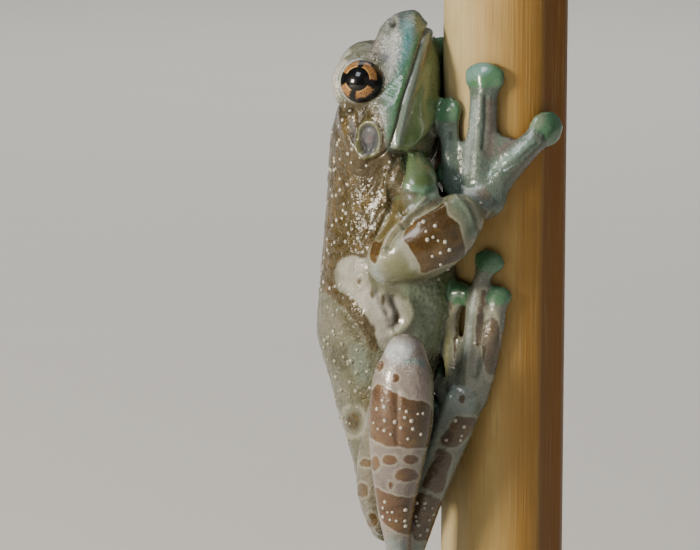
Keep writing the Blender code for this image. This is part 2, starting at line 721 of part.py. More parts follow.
def head():
    """Head with orbits, lids, eardrums, nostrils, lips and the line of the mouth."""
    piece = body()
    added = []
    removed = []
    for side in SIDES.values():
        eye = on_head(EYE_CENTRE, side)
        gaze = from_head(GAZE, side)
        added.append(ball(eye, (ORBIT_RADIUS,) * 3, gaze, ORBIT_MESH))
        added.append(hoop(eye + gaze * LID_LEVEL, gaze, LID_RING, LID_THICKNESS, LID_MESH))
        removed.append(ball(eye, (SOCKET_RADIUS,) * 3, gaze, SOCKET_MESH))
        removed.append(rod_between(eye, eye + gaze * 2 * ORBIT_RADIUS, OPENING_RADIUS, OPENING_SIDES))
        ear = on_head(EARDRUM_CENTRE, side)
        facing = from_head(EARDRUM_FACING, side)
        added.append(hoop(ear, facing, EARDRUM_RADIUS, EARDRUM_RING, EARDRUM_RING_MESH))
        drum = (EARDRUM_RADIUS, EARDRUM_RADIUS, EARDRUM_DEPTH)
        removed.append(ball(ear + facing * EARDRUM_DEPTH, drum, facing, EARDRUM_MESH))
        fold = smooth_rows([on_head(spot, side) for spot in FOLD_ROUTE], FOLD_STEPS)
        added.append(tube(fold, np.full(len(fold), FOLD_RADIUS)))
        nostril = on_head(NOSTRIL_CENTRE, side)
        way = from_head(NOSTRIL_FACING, side)
        added.append(hoop(nostril, way, NOSTRIL_RING, NOSTRIL_RIM, NOSTRIL_MESH))
        removed.append(rod_between(nostril - way, nostril + way * 2, NOSTRIL_HOLE, NOSTRIL_SIDES))
    lip = ribbon(MOUTH_LINE, LIP_WIDTH, LIP_OFFSET, 2 * EYE_CENTRE[1])
    combine(lip, [body(LIP_RISE)], "INTERSECT", "MANIFOLD")
    combine(piece, added + [lip], "UNION", "MANIFOLD")
    point, normal = neck_plane(1)
    parted(piece, point, normal)
    groove = ribbon(MOUTH_LINE, MOUTH_WIDTH, 0.0, 2 * EYE_CENTRE[1])
    combine(groove, [body(-MOUTH_DEPTH)], "DIFFERENCE", "MANIFOLD")
    pressing = [perch_clearance(), groove]
    pressing += [hand(side, GAP) for side in SIDES.values()]
    for other in removed + pressing:
        combine(piece, [other], "DIFFERENCE", "MANIFOLD")
    return piece


def perch_clearance():
    """The perch with a gap all round, for cutting what lies on it."""
    foot_end = (PERCH_X, 0.0, 0.0)
    top_end = (PERCH_X, 0.0, PERCH_TOP + BASE_HEIGHT)
    return rod_between(foot_end, top_end, PERCH_RADIUS + GAP, PERCH_SIDES)


def turned_profile(profile, sides):
    """Solid turned round the vertical axis from a profile of radius and height, top to bottom."""
    shape = bmesh.new()
    spots = [shape.verts.new((radius, 0.0, height)) for radius, height in profile]
    for spot, following in zip(spots, spots[1:]):
        shape.edges.new((spot, following))
    piece = piece_from(shape, "turned")
    screw = piece.modifiers.new("turned", "SCREW")
    screw.steps = sides
    screw.render_steps = sides
    screw.use_merge_vertices = True
    screw.merge_threshold = MERGE
    return applied(piece)


def perch():
    """Bamboo with a raised joint near its foot, a long shallow channel and a hollow upper end."""
    joint = PERCH_BOTTOM + JOINT_HEIGHT
    widest = PERCH_RADIUS + JOINT_RISE
    bore_floor = PERCH_TOP - BORE_DEPTH
    profile = ((0.0, bore_floor), (BORE_RADIUS, bore_floor), (BORE_RADIUS, PERCH_TOP),
               (PERCH_RADIUS, PERCH_TOP), (PERCH_RADIUS, joint + JOINT_WIDTH),
               (widest, joint + JOINT_RISE), (widest, joint - JOINT_RISE),
               (PERCH_RADIUS, joint - JOINT_WIDTH), (PERCH_RADIUS, PERCH_BOTTOM), (0.0, PERCH_BOTTOM))
    shaft = turned_profile(profile, PERCH_SIDES)
    shaft.data.transform(Matrix.Translation((PERCH_X * MM, 0.0, 0.0)))
    turn = math.radians(CHANNEL_ANGLE)
    reach = PERCH_RADIUS - CHANNEL_DEPTH + CHANNEL_RADIUS
    x = PERCH_X + reach * math.sin(turn)
    y = -reach * math.cos(turn)
    foot_end = (x, y, joint + 2 * JOINT_WIDTH)
    top_end = (x, y, PERCH_TOP + GAP)
    channel = rod_between(foot_end, top_end, CHANNEL_RADIUS, CHANNEL_SIDES)
    return combine(shaft, [channel], "DIFFERENCE")


def stand_base():
    """Round flat base with its edges eased."""
    piece = rod_between((0.0, 0.0, 0.0), (0.0, 0.0, BASE_HEIGHT), BASE_RADIUS, BASE_SIDES)
    eased = piece.modifiers.new("eased", "BEVEL")
    eased.width = BASE_EDGE * MM
    eased.segments = BASE_EDGE_STEPS
    eased.limit_method = "ANGLE"
    return applied(piece)


def stand_rod():
    """Short steel rod from the base up to the perch."""
    foot_end = (PERCH_X, 0.0, BASE_HEIGHT + GAP)
    top_end = (PERCH_X, 0.0, PERCH_BOTTOM - GAP)
    return rod_between(foot_end, top_end, ROD_RADIUS, ROD_SIDES)


def build():
    """Every node of the model, each cut clear of the nodes that it lies against."""
    looks = {
        "back": skin_material("skin_back", SKIN_BACK, 0.45),
        "head": skin_material("skin_head", SKIN_HEAD, 0.4),
        "limb": skin_material("skin_limb", SKIN_LIMB, 0.4),
        "pale": skin_material("skin_pale", SKIN_PALE, 0.4),
        "pad": skin_material("skin_pad", SKIN_PAD, 0.35),
        "eye": skin_material("eye_copper", EYE_COPPER, 0.08),
        "bamboo": skin_material("bamboo", BAMBOO, 0.4),
        "wood": skin_material("dark_wood", DARK_WOOD, 0.35),
        "steel": skin_material("steel", STEEL, 0.3, 1.0),
    }
    finish_node(stand_base(), "stand_base", looks["wood"])
    finish_node(stand_rod(), "stand_rod", looks["steel"])
    finish_node(perch(), "perch_bamboo", looks["bamboo"])
    finish_node(head(), "head", looks["head"])
    finish_node(torso(), "torso", looks["back"])
    for name, side in SIDES.items():
        eye = on_head(EYE_CENTRE, side)
        gaze = from_head(GAZE, side)
        finish_node(ball(eye, (EYE_RADIUS,) * 3, gaze, EYE_MESH), "eye_" + name, looks["eye"])
        arm = upper_arm(side)
        for other in (body(LIP_RISE + GAP), forearm(side, GAP), hand(side, GAP)):
            combine(arm, [other], "DIFFERENCE")
        finish_node(arm, "upper_arm_" + name, looks["limb"])
        lower_arm = combine(forearm(side), [perch_clearance()], "DIFFERENCE")
        finish_node(lower_arm, "forearm_" + name, looks["limb"])
        grip = hand(side)
        for other in (forearm(side, GAP), perch_clearance()):
            combine(grip, [other], "DIFFERENCE")
        finish_node(grip, "hand_" + name, looks["pad"])
        upper_leg = thigh(side)
        for other in (body(GAP), shank(side, GAP), foot(side, GAP)):
            combine(upper_leg, [other], "DIFFERENCE")
        finish_node(upper_leg, "thigh_" + name, looks["pale"])
        finish_node(shank(side), "shank_" + name, looks["limb"])
        sole = foot(side)
        for other in (shank(side, GAP), perch_clearance()):
            combine(sole, [other], "DIFFERENCE")
        finish_node(sole, "foot_" + name, looks["pad"])


clear_objects()
FROG = new_collection("amazon_milk_frog")
WORKINGS = new_collection("workings")
build()
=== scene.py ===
# %% [markdown]
# # An amazon milk frog on bamboo, life size
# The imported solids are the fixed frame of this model. They say where every limb is. The cells
# below dress them: one skin over all the flesh, two eyes, a cane of bamboo, and a display stand.
# The skin could be sculpted by hand. Here it is worked out with arrays instead, so that each fold
# and each marking has a place and a size that a reader can change.

# %% The frame
import math

import bmesh
import bpy
import numpy as np
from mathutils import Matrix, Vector
from mathutils.bvhtree import BVHTree


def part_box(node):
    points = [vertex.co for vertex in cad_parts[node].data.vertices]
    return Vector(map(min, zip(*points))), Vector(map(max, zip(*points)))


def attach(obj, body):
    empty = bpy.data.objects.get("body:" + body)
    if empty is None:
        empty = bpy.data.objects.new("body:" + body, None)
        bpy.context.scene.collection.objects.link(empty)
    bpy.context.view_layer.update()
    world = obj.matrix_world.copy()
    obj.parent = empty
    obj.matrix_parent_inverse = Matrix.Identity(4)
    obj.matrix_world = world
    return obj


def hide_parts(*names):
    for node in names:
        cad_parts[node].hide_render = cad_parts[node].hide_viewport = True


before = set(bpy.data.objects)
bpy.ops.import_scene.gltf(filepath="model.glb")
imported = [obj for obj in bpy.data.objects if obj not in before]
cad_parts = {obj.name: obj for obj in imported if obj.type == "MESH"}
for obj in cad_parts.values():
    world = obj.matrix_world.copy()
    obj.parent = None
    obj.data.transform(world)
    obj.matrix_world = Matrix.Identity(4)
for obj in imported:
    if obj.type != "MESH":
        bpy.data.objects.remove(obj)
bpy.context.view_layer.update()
MM = 0.001
RIGHT, LEFT = -1, 1
print("frame nodes", len(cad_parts))

# %% [markdown]
# The camera comes early, because many markings are easiest to place where the viewer sees them.
# It stands at the frog's right side and looks slightly down. A long lens keeps the perspective as
# flat as a close-up picture taken from a step away.

# %% The camera
PHOTO_WIDTH, PHOTO_HEIGHT = 700, 550
PIXEL = 0.14                     # size of one pixel of the picture at the target, in millimetres
ELEVATION = math.radians(9.5)
DISTANCE = 450.0
TARGET = np.array((-13.5, 0.0, 75.5))
VIEW_BACK = np.array((0.0, -math.cos(ELEVATION), math.sin(ELEVATION)))
VIEW_UP = np.array((0.0, math.sin(ELEVATION), math.cos(ELEVATION)))
SENSOR = 36.0


def make_camera():
    """Perspective camera whose frame is as wide as the picture at the target."""
    data = bpy.data.cameras.new("camera")
    data.sensor_width = SENSOR
    data.lens = SENSOR * DISTANCE / (PHOTO_WIDTH * PIXEL)
    data.clip_start = 0.01
    data.clip_end = 50.0
    camera = bpy.data.objects.new("camera", data)
    bpy.context.scene.collection.objects.link(camera)
    camera.location = Vector((TARGET + VIEW_BACK * DISTANCE) * MM)
    camera.rotation_mode = "QUATERNION"
    camera.rotation_quaternion = Vector(-VIEW_BACK).to_track_quat("-Z", "Y")
    bpy.context.scene.camera = camera
    return camera


def seen_at(points):
    """Where points in millimetres fall in the picture, as u to the right and v down."""
    offset = points - TARGET
    depth = DISTANCE - offset @ VIEW_BACK
    u = PHOTO_WIDTH / 2 + offset[:, 0] * DISTANCE / depth / PIXEL
    v = PHOTO_HEIGHT / 2 - (offset @ VIEW_UP) * DISTANCE / depth / PIXEL
    return np.column_stack((u, v))


camera = make_camera()
print("lens", round(camera.data.lens, 1), "mm")

# %% [markdown]
# Four small helpers carry the whole model. A smooth curve runs through named landmarks. A loft
# carries an oval along such a curve. A grid becomes a closed mesh, with one point at each pole.
# Lofts are chosen because a limb is just that: an oval that changes size along a line.

# %% Curves, grids and lofts
def unit(vectors):
    """Vectors divided by their own length."""
    return vectors / np.maximum(np.linalg.norm(vectors, axis=-1, keepdims=True), 1e-12)


def curve_through(rows, steps, closed=False):
    """Catmull-Rom: half of 2b + (c-a)t + (2a-5b+4c-d)tt + (3b-3c+d-a)ttt between rows b and c."""
    rows = np.array(rows, dtype=float)
    if closed:
        padded = np.vstack((rows[-1:], rows, rows[:2]))
    else:
        padded = np.vstack((2 * rows[:1] - rows[1:2], rows, 2 * rows[-1:] - rows[-2:-1]))
    a, b, c, d = (padded[i:len(padded) - 3 + i, None, :] for i in range(4))
    t = (np.arange(steps) / steps)[None, :, None]
    spots = 0.5 * (2 * b + (c - a) * t + (2 * a - 5 * b + 4 * c - d) * t ** 2
                   + (3 * b - 3 * c + d - a) * t ** 3)
    spots = spots.reshape(-1, rows.shape[1])
    return spots if closed else np.vstack((spots, rows[-1:]))


def closed_grid(points):
    """Vertices and faces of a grid that closes round its columns, each end row drawn to one point."""
    rows, columns = points.shape[:2]
    body = points[1:-1].reshape(-1, 3)
    vertices = np.vstack((body, points[0].mean(axis=0)[None], points[-1].mean(axis=0)[None]))
    i, j = np.meshgrid(np.arange(rows - 3), np.arange(columns), indexing="ij")
    after = (j + 1) % columns
    quads = np.stack((i * columns + j, i * columns + after,
                      (i + 1) * columns + after, (i + 1) * columns + j), -1)
    j = np.arange(columns)
    after = (j + 1) % columns
    last = (rows - 3) * columns
    start = np.column_stack((np.full(columns, len(body)), after, j))
    finish = np.column_stack((np.full(columns, len(body) + 1), last + j, last + after))
    return vertices, quads.reshape(-1, 4), np.vstack((start, finish))


def toward_back(centres):
    """The direction out of the frog's back, the same everywhere."""
    return np.broadcast_to((-1.0, 0.0, 0.0), centres.shape)


def loft(stations, sides, steps, toward=toward_back):
    """Grid of centre + cos(a) * reach * upper + sin(a) * width * across, with round ends.

    A station is x, y, z, the half size toward the given direction, away from it, and across.
    An end is carried on by a quarter ellipse, as long as the smallest half size there.
    """
    rows = curve_through(stations, steps)
    centres = rows[:, :3]
    sizes = rows[:, 3:6]
    ahead = unit(np.gradient(centres, axis=0))
    toward = toward(centres)
    upper = unit(toward - (ahead * toward).sum(axis=1, keepdims=True) * ahead)
    across = np.cross(ahead, upper)
    bend = np.radians(np.arange(90.0, 0.0, -15.0))
    share = np.concatenate((np.cos(bend), np.ones(len(rows)), np.cos(bend[::-1])))
    shift = np.concatenate((-np.sin(bend) * sizes[0].min(), np.zeros(len(rows)),
                            np.sin(bend[::-1]) * sizes[-1].min()))
    pick = np.concatenate((np.zeros(len(bend), int), np.arange(len(rows)),
                           np.full(len(bend), len(rows) - 1)))
    angle = np.linspace(0.0, 2.0 * math.pi, sides, endpoint=False)
    cosine, sine = np.cos(angle), np.sin(angle)
    reach = np.where(cosine > 0.0, sizes[pick, 0:1], sizes[pick, 1:2])
    middle = centres[pick] + ahead[pick] * shift[:, None]
    return (middle[:, None, :]
            + (share[:, None] * cosine * reach)[..., None] * upper[pick][:, None, :]
            + (share[:, None] * sine * sizes[pick, 2:3])[..., None] * across[pick][:, None, :])


def mesh_object(name, vertices, *face_arrays, scale=MM):
    """A linked object from vertices in millimetres and arrays of faces."""
    mesh = bpy.data.meshes.new(name)
    faces = [face for array in face_arrays for face in array.tolist()]
    mesh.from_pydata((vertices * scale).tolist(), [], faces)
    mesh.validate()
    item = bpy.data.objects.new(name, mesh)
    bpy.context.scene.collection.objects.link(item)
    return item


def smoothstep(value, low, high):
    """3tt - 2ttt of the share t of the way from low to high."""
    t = np.clip((value - low) / (high - low), 0.0, 1.0)
    return t * t * (3.0 - 2.0 * t)


def bell(value, width):
    """exp(-(value / width) squared), a soft bump one width wide."""
    return np.exp(-(value / width) ** 2)


# %% [markdown]
# The frog's form is a set of landmarks, measured as a modeller would with callipers. Each row
# gives a centre and the half sizes of the oval there. They are the landmarks of the solids, so
# the skin lies where the solids are. Only the limbs of the left side stand a little elsewhere.

# %% Landmarks of the head and trunk
BODY = (
    (-8.2, 0.0, 39.4, 2.5, 2.3, 3.0), (-8.2, 0.0, 42.5, 3.3, 3.1, 4.9), (-8.5, 0.0, 46.0, 3.9, 3.9, 6.0),
    (-8.9, 0.0, 50.5, 4.5, 4.9, 7.0), (-9.0, 0.0, 55.5, 6.0, 6.3, 8.2), (-9.0, 0.0, 61.0, 7.4, 7.8, 9.6),
    (-9.0, 0.0, 67.0, 9.1, 9.9, 11.1), (-9.0, 0.0, 72.5, 8.9, 11.6, 11.9),
    (-9.0, 0.0, 79.5, 8.3, 10.8, 11.8), (-9.0, 0.0, 86.0, 7.8, 8.8, 11.2),
    (-9.2, 0.0, 91.0, 7.3, 7.0, 10.9), (-8.8, 0.0, 94.6, 7.4, 7.7, 12.5), (-7.7, 0.0, 98.6, 7.1, 7.0, 12.5),
    (-6.3, 0.0, 102.6, 6.3, 5.8, 11.0), (-5.2, 0.0, 105.8, 5.6, 4.4, 9.1),
    (-4.7, 0.0, 108.2, 5.1, 3.1, 7.3), (-4.6, 0.0, 109.9, 4.9, 2.1, 5.8), (-4.6, 0.0, 111.1, 4.0, 1.5, 4.4),
    (-4.6, 0.0, 111.8, 2.7, 0.9, 2.9),
)
HEAD_TURN = math.radians(-3.0)
HEAD_AXIS_X = -8.5
HEAD_TURN_FROM, HEAD_TURN_TO = 88.0, 97.0
EYE_CENTRE = (-11.3, 8.1, 103.3)
EYE_RADIUS = 3.5
ORBIT_RADIUS = 4.4
GAZE = (-0.08, 0.97, 0.22)


def head_share(z):
    """How much of the head's turn a height takes: none at the shoulder, all from the jaw up."""
    return np.clip((z - HEAD_TURN_FROM) / (HEAD_TURN_TO - HEAD_TURN_FROM), 0.0, 1.0)


def body_back(centres):
    """The direction out of the back, turned a little to one side from the neck up."""
    share = head_share(centres[:, 2])
    return np.column_stack((-np.cos(HEAD_TURN * share), -np.sin(HEAD_TURN * share), np.zeros(len(share))))


def turned(points, angle):
    """Points turned about the upright axis of the head, by one angle or by an angle each."""
    cosine, sine = np.cos(angle), np.sin(angle)
    x, y = points[..., 0] - HEAD_AXIS_X, points[..., 1]
    return np.stack((HEAD_AXIS_X + cosine * x - sine * y, sine * x + cosine * y, points[..., 2]), axis=-1)


def straight_head(points):
    """Points with the head's turn taken back, by the share of their height."""
    return turned(points, -HEAD_TURN * head_share(points[:, 2]))


def turned_head(points):
    """The opposite of straight_head."""
    return turned(points, HEAD_TURN * head_share(points[:, 2]))


def turned_way(way):
    """A direction of the straight head as the turned head has it."""
    on_axis = np.array((HEAD_AXIS_X, 0.0, 0.0))
    return turned(on_axis + way, HEAD_TURN) - on_axis


def eye_place(side):
    """Centre of the eyeball and the way that it looks, on one side of the turned head."""
    centre = turned(np.array((EYE_CENTRE[0], side * EYE_CENTRE[1], EYE_CENTRE[2])), HEAD_TURN)
    return centre, unit(turned_way((GAZE[0], side * GAZE[1], GAZE[2])))


# %% Landmarks of the limbs: x, distance from the midline, z, half sizes, share of the left shift
UPPER_ARM = (
    (-7.4, 5.0, 92.6, 3.2, 3.2, 0.0), (-5.3, 9.4, 91.0, 3.4, 3.0, 0.05), (-4.5, 11.9, 88.6, 3.1, 2.9, 0.15),
    (-5.6, 13.6, 85.0, 2.9, 2.8, 0.3), (-7.2, 14.8, 81.8, 3.1, 3.1, 0.4),
)
FOREARM = (
    (-7.9, 15.2, 80.0, 3.6, 3.5, 0.45), (-5.6, 15.8, 81.0, 4.3, 3.8, 0.55),
    (-2.9, 15.7, 82.6, 4.6, 3.9, 0.65), (-0.3, 15.0, 84.3, 4.4, 3.7, 0.8), (1.3, 14.0, 85.7, 3.6, 3.3, 0.9),
)
WRIST = (
    (0.8, 13.3, 85.8, 2.5, 2.2, 0.9), (2.8, 11.8, 86.4, 2.6, 1.9, 1.0), (4.1, 10.6, 87.6, 2.6, 1.5, 1.0),
)
THIGH = (
    (-8.2, 3.6, 41.8, 3.2, 3.0, 0.0), (-8.6, 6.6, 46.2, 4.0, 3.5, 0.1), (-8.4, 9.2, 51.2, 4.1, 3.4, 0.2),
    (-7.8, 11.5, 56.8, 3.8, 3.1, 0.35), (-7.0, 13.4, 62.2, 3.3, 2.8, 0.45),
    (-6.5, 14.8, 66.0, 2.8, 2.5, 0.5),
)
SHANK = (
    (-6.0, 16.6, 67.4, 2.9, 2.9, 0.5), (-6.2, 17.1, 65.2, 4.0, 3.6, 0.55),
    (-6.45, 17.4, 61.4, 4.4, 3.8, 0.6), (-6.65, 17.3, 57.8, 4.4, 3.75, 0.7),
    (-6.95, 16.8, 53.8, 3.95, 3.4, 0.75), (-7.15, 15.9, 49.4, 3.25, 2.9, 0.85),
    (-7.2, 15.0, 45.0, 2.55, 2.35, 0.9), (-7.0, 14.1, 40.6, 1.8, 1.9, 0.95),
    (-6.8, 13.4, 37.2, 1.8, 1.9, 1.0),
)
INSTEP = (
    (-6.1, 11.6, 35.9, 1.9, 1.8, 1.0), (-4.9, 11.2, 39.3, 1.95, 1.8, 1.0),
    (-3.15, 10.8, 45.3, 2.3, 1.9, 1.0), (-1.4, 10.4, 50.2, 2.6, 2.0, 1.0), (0.5, 10.0, 55.0, 2.8, 1.9, 1.0),
    (2.1, 9.5, 59.2, 2.9, 1.6, 1.0),
)
HAND_SHIFT = {RIGHT: np.zeros(3), LEFT: np.array((-1.9, -0.9, 7.4))}
FOOT_SHIFT = {RIGHT: np.zeros(3), LEFT: np.array((0.0, 0.0, -1.6))}
HAND_TURN = {RIGHT: 0.0, LEFT: -12.0}


def limbs_of(side):
    """Name, landmarks and left shift of every stretch of arm and leg on one side."""
    hand, foot = HAND_SHIFT[side], FOOT_SHIFT[side]
    return (("upper_arm", UPPER_ARM, hand), ("forearm", FOREARM, hand), ("hand", WRIST, hand),
            ("thigh", THIGH, foot), ("shank", SHANK, foot), ("foot", INSTEP, foot))


def limb(stations, side, shift):
    """Loft of a limb: each centre takes its share of the shift, y is then mirrored to the side."""
    rows = np.array(stations)
    centres = rows[:, :3] + rows[:, 5:6] * shift
    centres[:, 1] *= side
    return np.column_stack((centres, rows[:, 3], rows[:, 3], rows[:, 4]))


# %% [markdown]
# The digits lie on the cane, so their landmarks are an angle round it and a height. A flat hand
# could be drawn and then bent, and that is what happens here: each pad and web is a flat form
# that is wrapped round the cane. The cane's own place is read from the frame.

# %% Landmarks of the hands and feet
PERCH_LOW, PERCH_HIGH = (np.array(corner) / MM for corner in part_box("perch_bamboo"))
PERCH_X = 8.0
PERCH_RADIUS = 8.6
DIGIT_RADIUS = 1.35
DIGIT_LIFT = 0.05
PAD_THICKNESS = 1.1
WEB_HALF = 0.45
FRINGE_HALF = 0.75
FRINGED_WIDTH = 1.2              # digits at least this wide, for their thickness, have a fringe
# A digit is its route round the cane, how thick and how wide it is, and the half sizes of its pad
FINGERS = (
    (((-30.0, 86.5), (-45.0, 88.4), (-60.0, 90.6)), 1.0, 1.1, (1.8, 1.8)),
    (((-32.0, 86.8), (-43.0, 89.2), (-49.5, 92.4), (-53.0, 96.6), (-54.5, 99.3)), 1.0, 1.25, (2.05, 2.05)),
    (((-22.5, 88.0), (-23.5, 92.0), (-21.7, 97.0), (-20.2, 101.5), (-20.0, 104.2)), 1.0, 1.6, (2.85, 2.3)),
    (((-17.0, 87.5), (-8.0, 90.2), (6.0, 93.0), (20.0, 95.2), (34.0, 97.0)), 1.0, 1.55, (2.7, 2.7)),
)
FINGER_WEBS = (0.3, 0.5, 0.62)
TOES = (
    (((-46.0, 53.0), (-60.0, 55.0), (-76.0, 57.2)), 0.8, 1.0, (1.4, 1.4)),
    (((-42.0, 56.0), (-57.0, 59.0), (-74.0, 62.4)), 0.85, 1.0, (1.6, 1.6)),
    (((-38.0, 58.0), (-46.0, 62.5), (-49.5, 67.2), (-46.5, 71.3), (-41.0, 74.3)), 0.9, 1.0, (1.9, 1.7)),
    (((-33.0, 58.5), (-29.5, 65.5), (-24.7, 72.0), (-20.0, 76.4), (-14.8, 78.9)), 1.05, 1.1, (2.15, 1.8)),
    (((-25.0, 59.0), (-16.5, 64.0), (-11.5, 68.4), (-8.0, 71.8), (-6.0, 74.2)), 0.9, 1.2, (1.7, 1.6)),
)
TOE_WEBS = (0.5, 0.45, 0.45, 0.4)
PALM_PLACE, PALM_SIZE = (-21.0, 88.0), (3.2, 1.5, 3.6)


def wrapped(flat, side):
    """Flat x is the way round the cane, flat y the height off it: x / radius is the angle."""
    angle = flat[..., 0] / PERCH_RADIUS
    reach = PERCH_RADIUS + flat[..., 1]
    return np.stack((PERCH_X + reach * np.sin(angle), side * reach * np.cos(angle), flat[..., 2]), axis=-1)


def off_the_flat(centres):
    """Straight off the unrolled bark, the same everywhere."""
    return np.broadcast_to((0.0, 1.0, 0.0), centres.shape)


def out_of_cane(centres):
    """The direction straight out from the axis of the cane."""
    return unit(np.column_stack((centres[:, 0] - PERCH_X, centres[:, 1], np.zeros(len(centres)))))


def flat_route(route, turn, lift, steps=6):
    """A digit's landmarks as way round the cane and height, on a smooth curve."""
    rows = curve_through(np.array(route) + (turn, lift), steps)
    return np.column_stack((np.radians(rows[:, 0]) * PERCH_RADIUS, rows[:, 1]))


def cushion(middle, lengthwise, half_width, half_length, half_thickness, level, power=0.8):
    """Flat rounded cushion: radius sin(p) to a power below one gives the full edge of a toe pad."""
    polar = np.linspace(0.0, math.pi, 15)[:, None]
    angle = np.linspace(0.0, 2.0 * math.pi, 24, endpoint=False)[None, :]
    ring = np.sin(polar) ** power
    lengthwise = unit(np.asarray(lengthwise, dtype=float))
    sideways = np.array((lengthwise[1], -lengthwise[0]))
    a = ring * np.cos(angle) * half_width
    b = ring * np.sin(angle) * half_length
    height = level + np.cos(polar) * half_thickness + 0.0 * angle
    return np.stack((middle[0] + a * sideways[0] + b * lengthwise[0], height,
                     middle[1] + a * sideways[1] + b * lengthwise[1]), axis=-1)


def digit_grids(side, route, scale, width, pad):
    """A knuckled shaft on the cane, the fringe of skin along both its sides and the pad at its tip."""
    radius = DIGIT_RADIUS * scale
    t = np.linspace(0.0, 1.0, len(route))
    girth = radius * (1.06 - 0.22 * t + 0.10 * bell(t - 0.52, 0.09) + 0.06 * bell(t - 0.2, 0.1))
    level = DIGIT_LIFT + radius
    centres = wrapped(np.column_stack((route[:, 0], np.full(len(route), level), route[:, 1])), side)
    shaft = loft(np.column_stack((centres, girth * 1.04, girth * 0.97, girth)), 16, 1, out_of_cane)
    tip = cushion(route[-1], route[-1] - route[-3], *pad, PAD_THICKNESS, DIGIT_LIFT + 0.82 * PAD_THICKNESS)
    if width < FRINGED_WIDTH:
        return [shaft, wrapped(tip, side)]
    half = np.interp(t, (0.0, 0.5, 1.0), (1.05, 1.0, 0.92)) * radius * width
    flat = np.column_stack((route[:, 0], np.full(len(route), level - 0.35), route[:, 1]))
    thin = np.full(len(route), FRINGE_HALF)
    fringe = loft(np.column_stack((flat, thin, thin, half)), 16, 1, off_the_flat)
    return [shaft, wrapped(fringe, side), wrapped(tip, side)]


def web_grid(side, route, next_route, share):
    """A thin lens of skin between two neighbouring digits, out to a share of their length."""
    spots = np.linspace(0.0, share, 5)
    first = np.array([route[int(spot * (len(route) - 1))] for spot in spots])
    second = np.array([next_route[int(spot * (len(next_route) - 1))] for spot in spots])
    middle = (first + second) / 2
    half = np.linalg.norm(second - first, axis=1) / 2
    thin = np.full(len(spots), WEB_HALF)
    rows = np.column_stack((middle[:, 0], thin + 0.75, middle[:, 1], thin, thin, half))
    return wrapped(loft(rows, 12, 2, off_the_flat), side)


def gripping_grids(side, digits, webs, turn, lift, palm):
    """Every digit, pad and web of one hand or foot, and its palm if it has one."""
    routes = [flat_route(route, turn, lift) for route, *sizes in digits]
    grids = []
    for route, (landmarks, *sizes) in zip(routes, digits):
        grids += digit_grids(side, route, *sizes)
    grids += [web_grid(side, *pair, share) for *pair, share in zip(routes, routes[1:], webs)]
    if palm:
        middle = (math.radians(PALM_PLACE[0] + turn) * PERCH_RADIUS, PALM_PLACE[1] + lift)
        half_width, half_thickness, half_length = PALM_SIZE
        flat = cushion(middle, (0.0, 1.0), half_width, half_length, half_thickness, half_thickness, 1.0)
        grids.append(wrapped(flat, side))
    return grids


print("cane from", PERCH_LOW.round(1), "to", PERCH_HIGH.round(1))

# %% [markdown]
# The skin starts as many closed forms that run into each other. A Boolean union would leave
# hard creases. A voxel remesh turns all of them into one even surface instead, as clay does when
# limbs are pressed onto a trunk, and a little relaxing then softens the places where they meet.

# %% One surface over all the flesh
VOXEL = 0.46


def flesh_grids():
    """Every closed form of the frog, right and left."""
    grids = [loft(BODY, 56, 4, body_back)]
    for side in (RIGHT, LEFT):
        centre, ahead = eye_place(side)
        polar = np.linspace(0.0, math.pi, 24)[:, None]
        angle = np.linspace(0.0, 2.0 * math.pi, 36, endpoint=False)[None, :]
        ball = np.stack((np.sin(polar) * np.cos(angle), np.sin(polar) * np.sin(angle),
                         np.cos(polar) + 0 * angle), -1)
        grids.append(centre + ORBIT_RADIUS * ball)
        grids += [loft(limb(stations, side, shift), 28, 4) for name, stations, shift in limbs_of(side)]
        grids += gripping_grids(side, FINGERS, FINGER_WEBS, HAND_TURN[side], HAND_SHIFT[side][2], True)
        grids += gripping_grids(side, TOES, TOE_WEBS, 0.0, FOOT_SHIFT[side][2], False)
    return grids


def volume_of(vertices, quads, triangles):
    """Signed volume: the sum of a . (b x c) / 6 over the triangles."""
    faces = np.vstack((quads[:, :3], quads[:, (0, 2, 3)], triangles))
    a, b, c = (vertices[faces[:, k]] for k in range(3))
    return float((a * np.cross(b, c)).sum() / 6.0)


def joined_forms(grids, name):
    """One object of all the grids, each with its faces pointing outward."""
    vertices, quads, triangles, count = [], [], [], 0
    for grid in grids:
        spots, four, three = closed_grid(grid)
        if volume_of(spots, four, three) < 0.0:
            four, three = four[:, ::-1], three[:, ::-1]
        vertices.append(spots)
        quads.append(four + count)
        triangles.append(three + count)
        count += len(spots)
    return mesh_object(name, np.vstack(vertices), np.vstack(quads), np.vstack(triangles))


def remeshed(item, voxel):
    """The object's closed forms made one surface of even quads."""
    remesh = item.modifiers.new("one_surface", "REMESH")
    remesh.mode = "VOXEL"
    remesh.voxel_size = voxel * MM
    remesh.adaptivity = 0.0
    graph = bpy.context.evaluated_depsgraph_get()
    mesh = bpy.data.meshes.new_from_object(item.evaluated_get(graph))
    item.modifiers.clear()
    item.data = mesh
    return item


def numbers_of(items, key, width, kind):
    """An array with one row of numbers for each vertex, edge or corner of a mesh."""
    flat = np.empty(len(items) * width, kind)
    items.foreach_get(key, flat)
    return flat.reshape(-1, width)


def points_of(item):
    """Vertices in millimetres, as an array."""
    return numbers_of(item.data.vertices, "co", 3, np.float32).astype(float) / MM


def set_points(item, points):
    """Writes vertices given in millimetres."""
    item.data.vertices.foreach_set("co", (points * MM).astype(np.float32).ravel())
    item.data.update()


def normals_of(item):
    """Vertex normals, as an array."""
    return numbers_of(item.data.vertex_normals, "vector", 3, np.float32).astype(float)


def edges_of(item):
    """Pairs of vertex numbers, as an array."""
    return numbers_of(item.data.edges, "vertices", 2, np.int32)


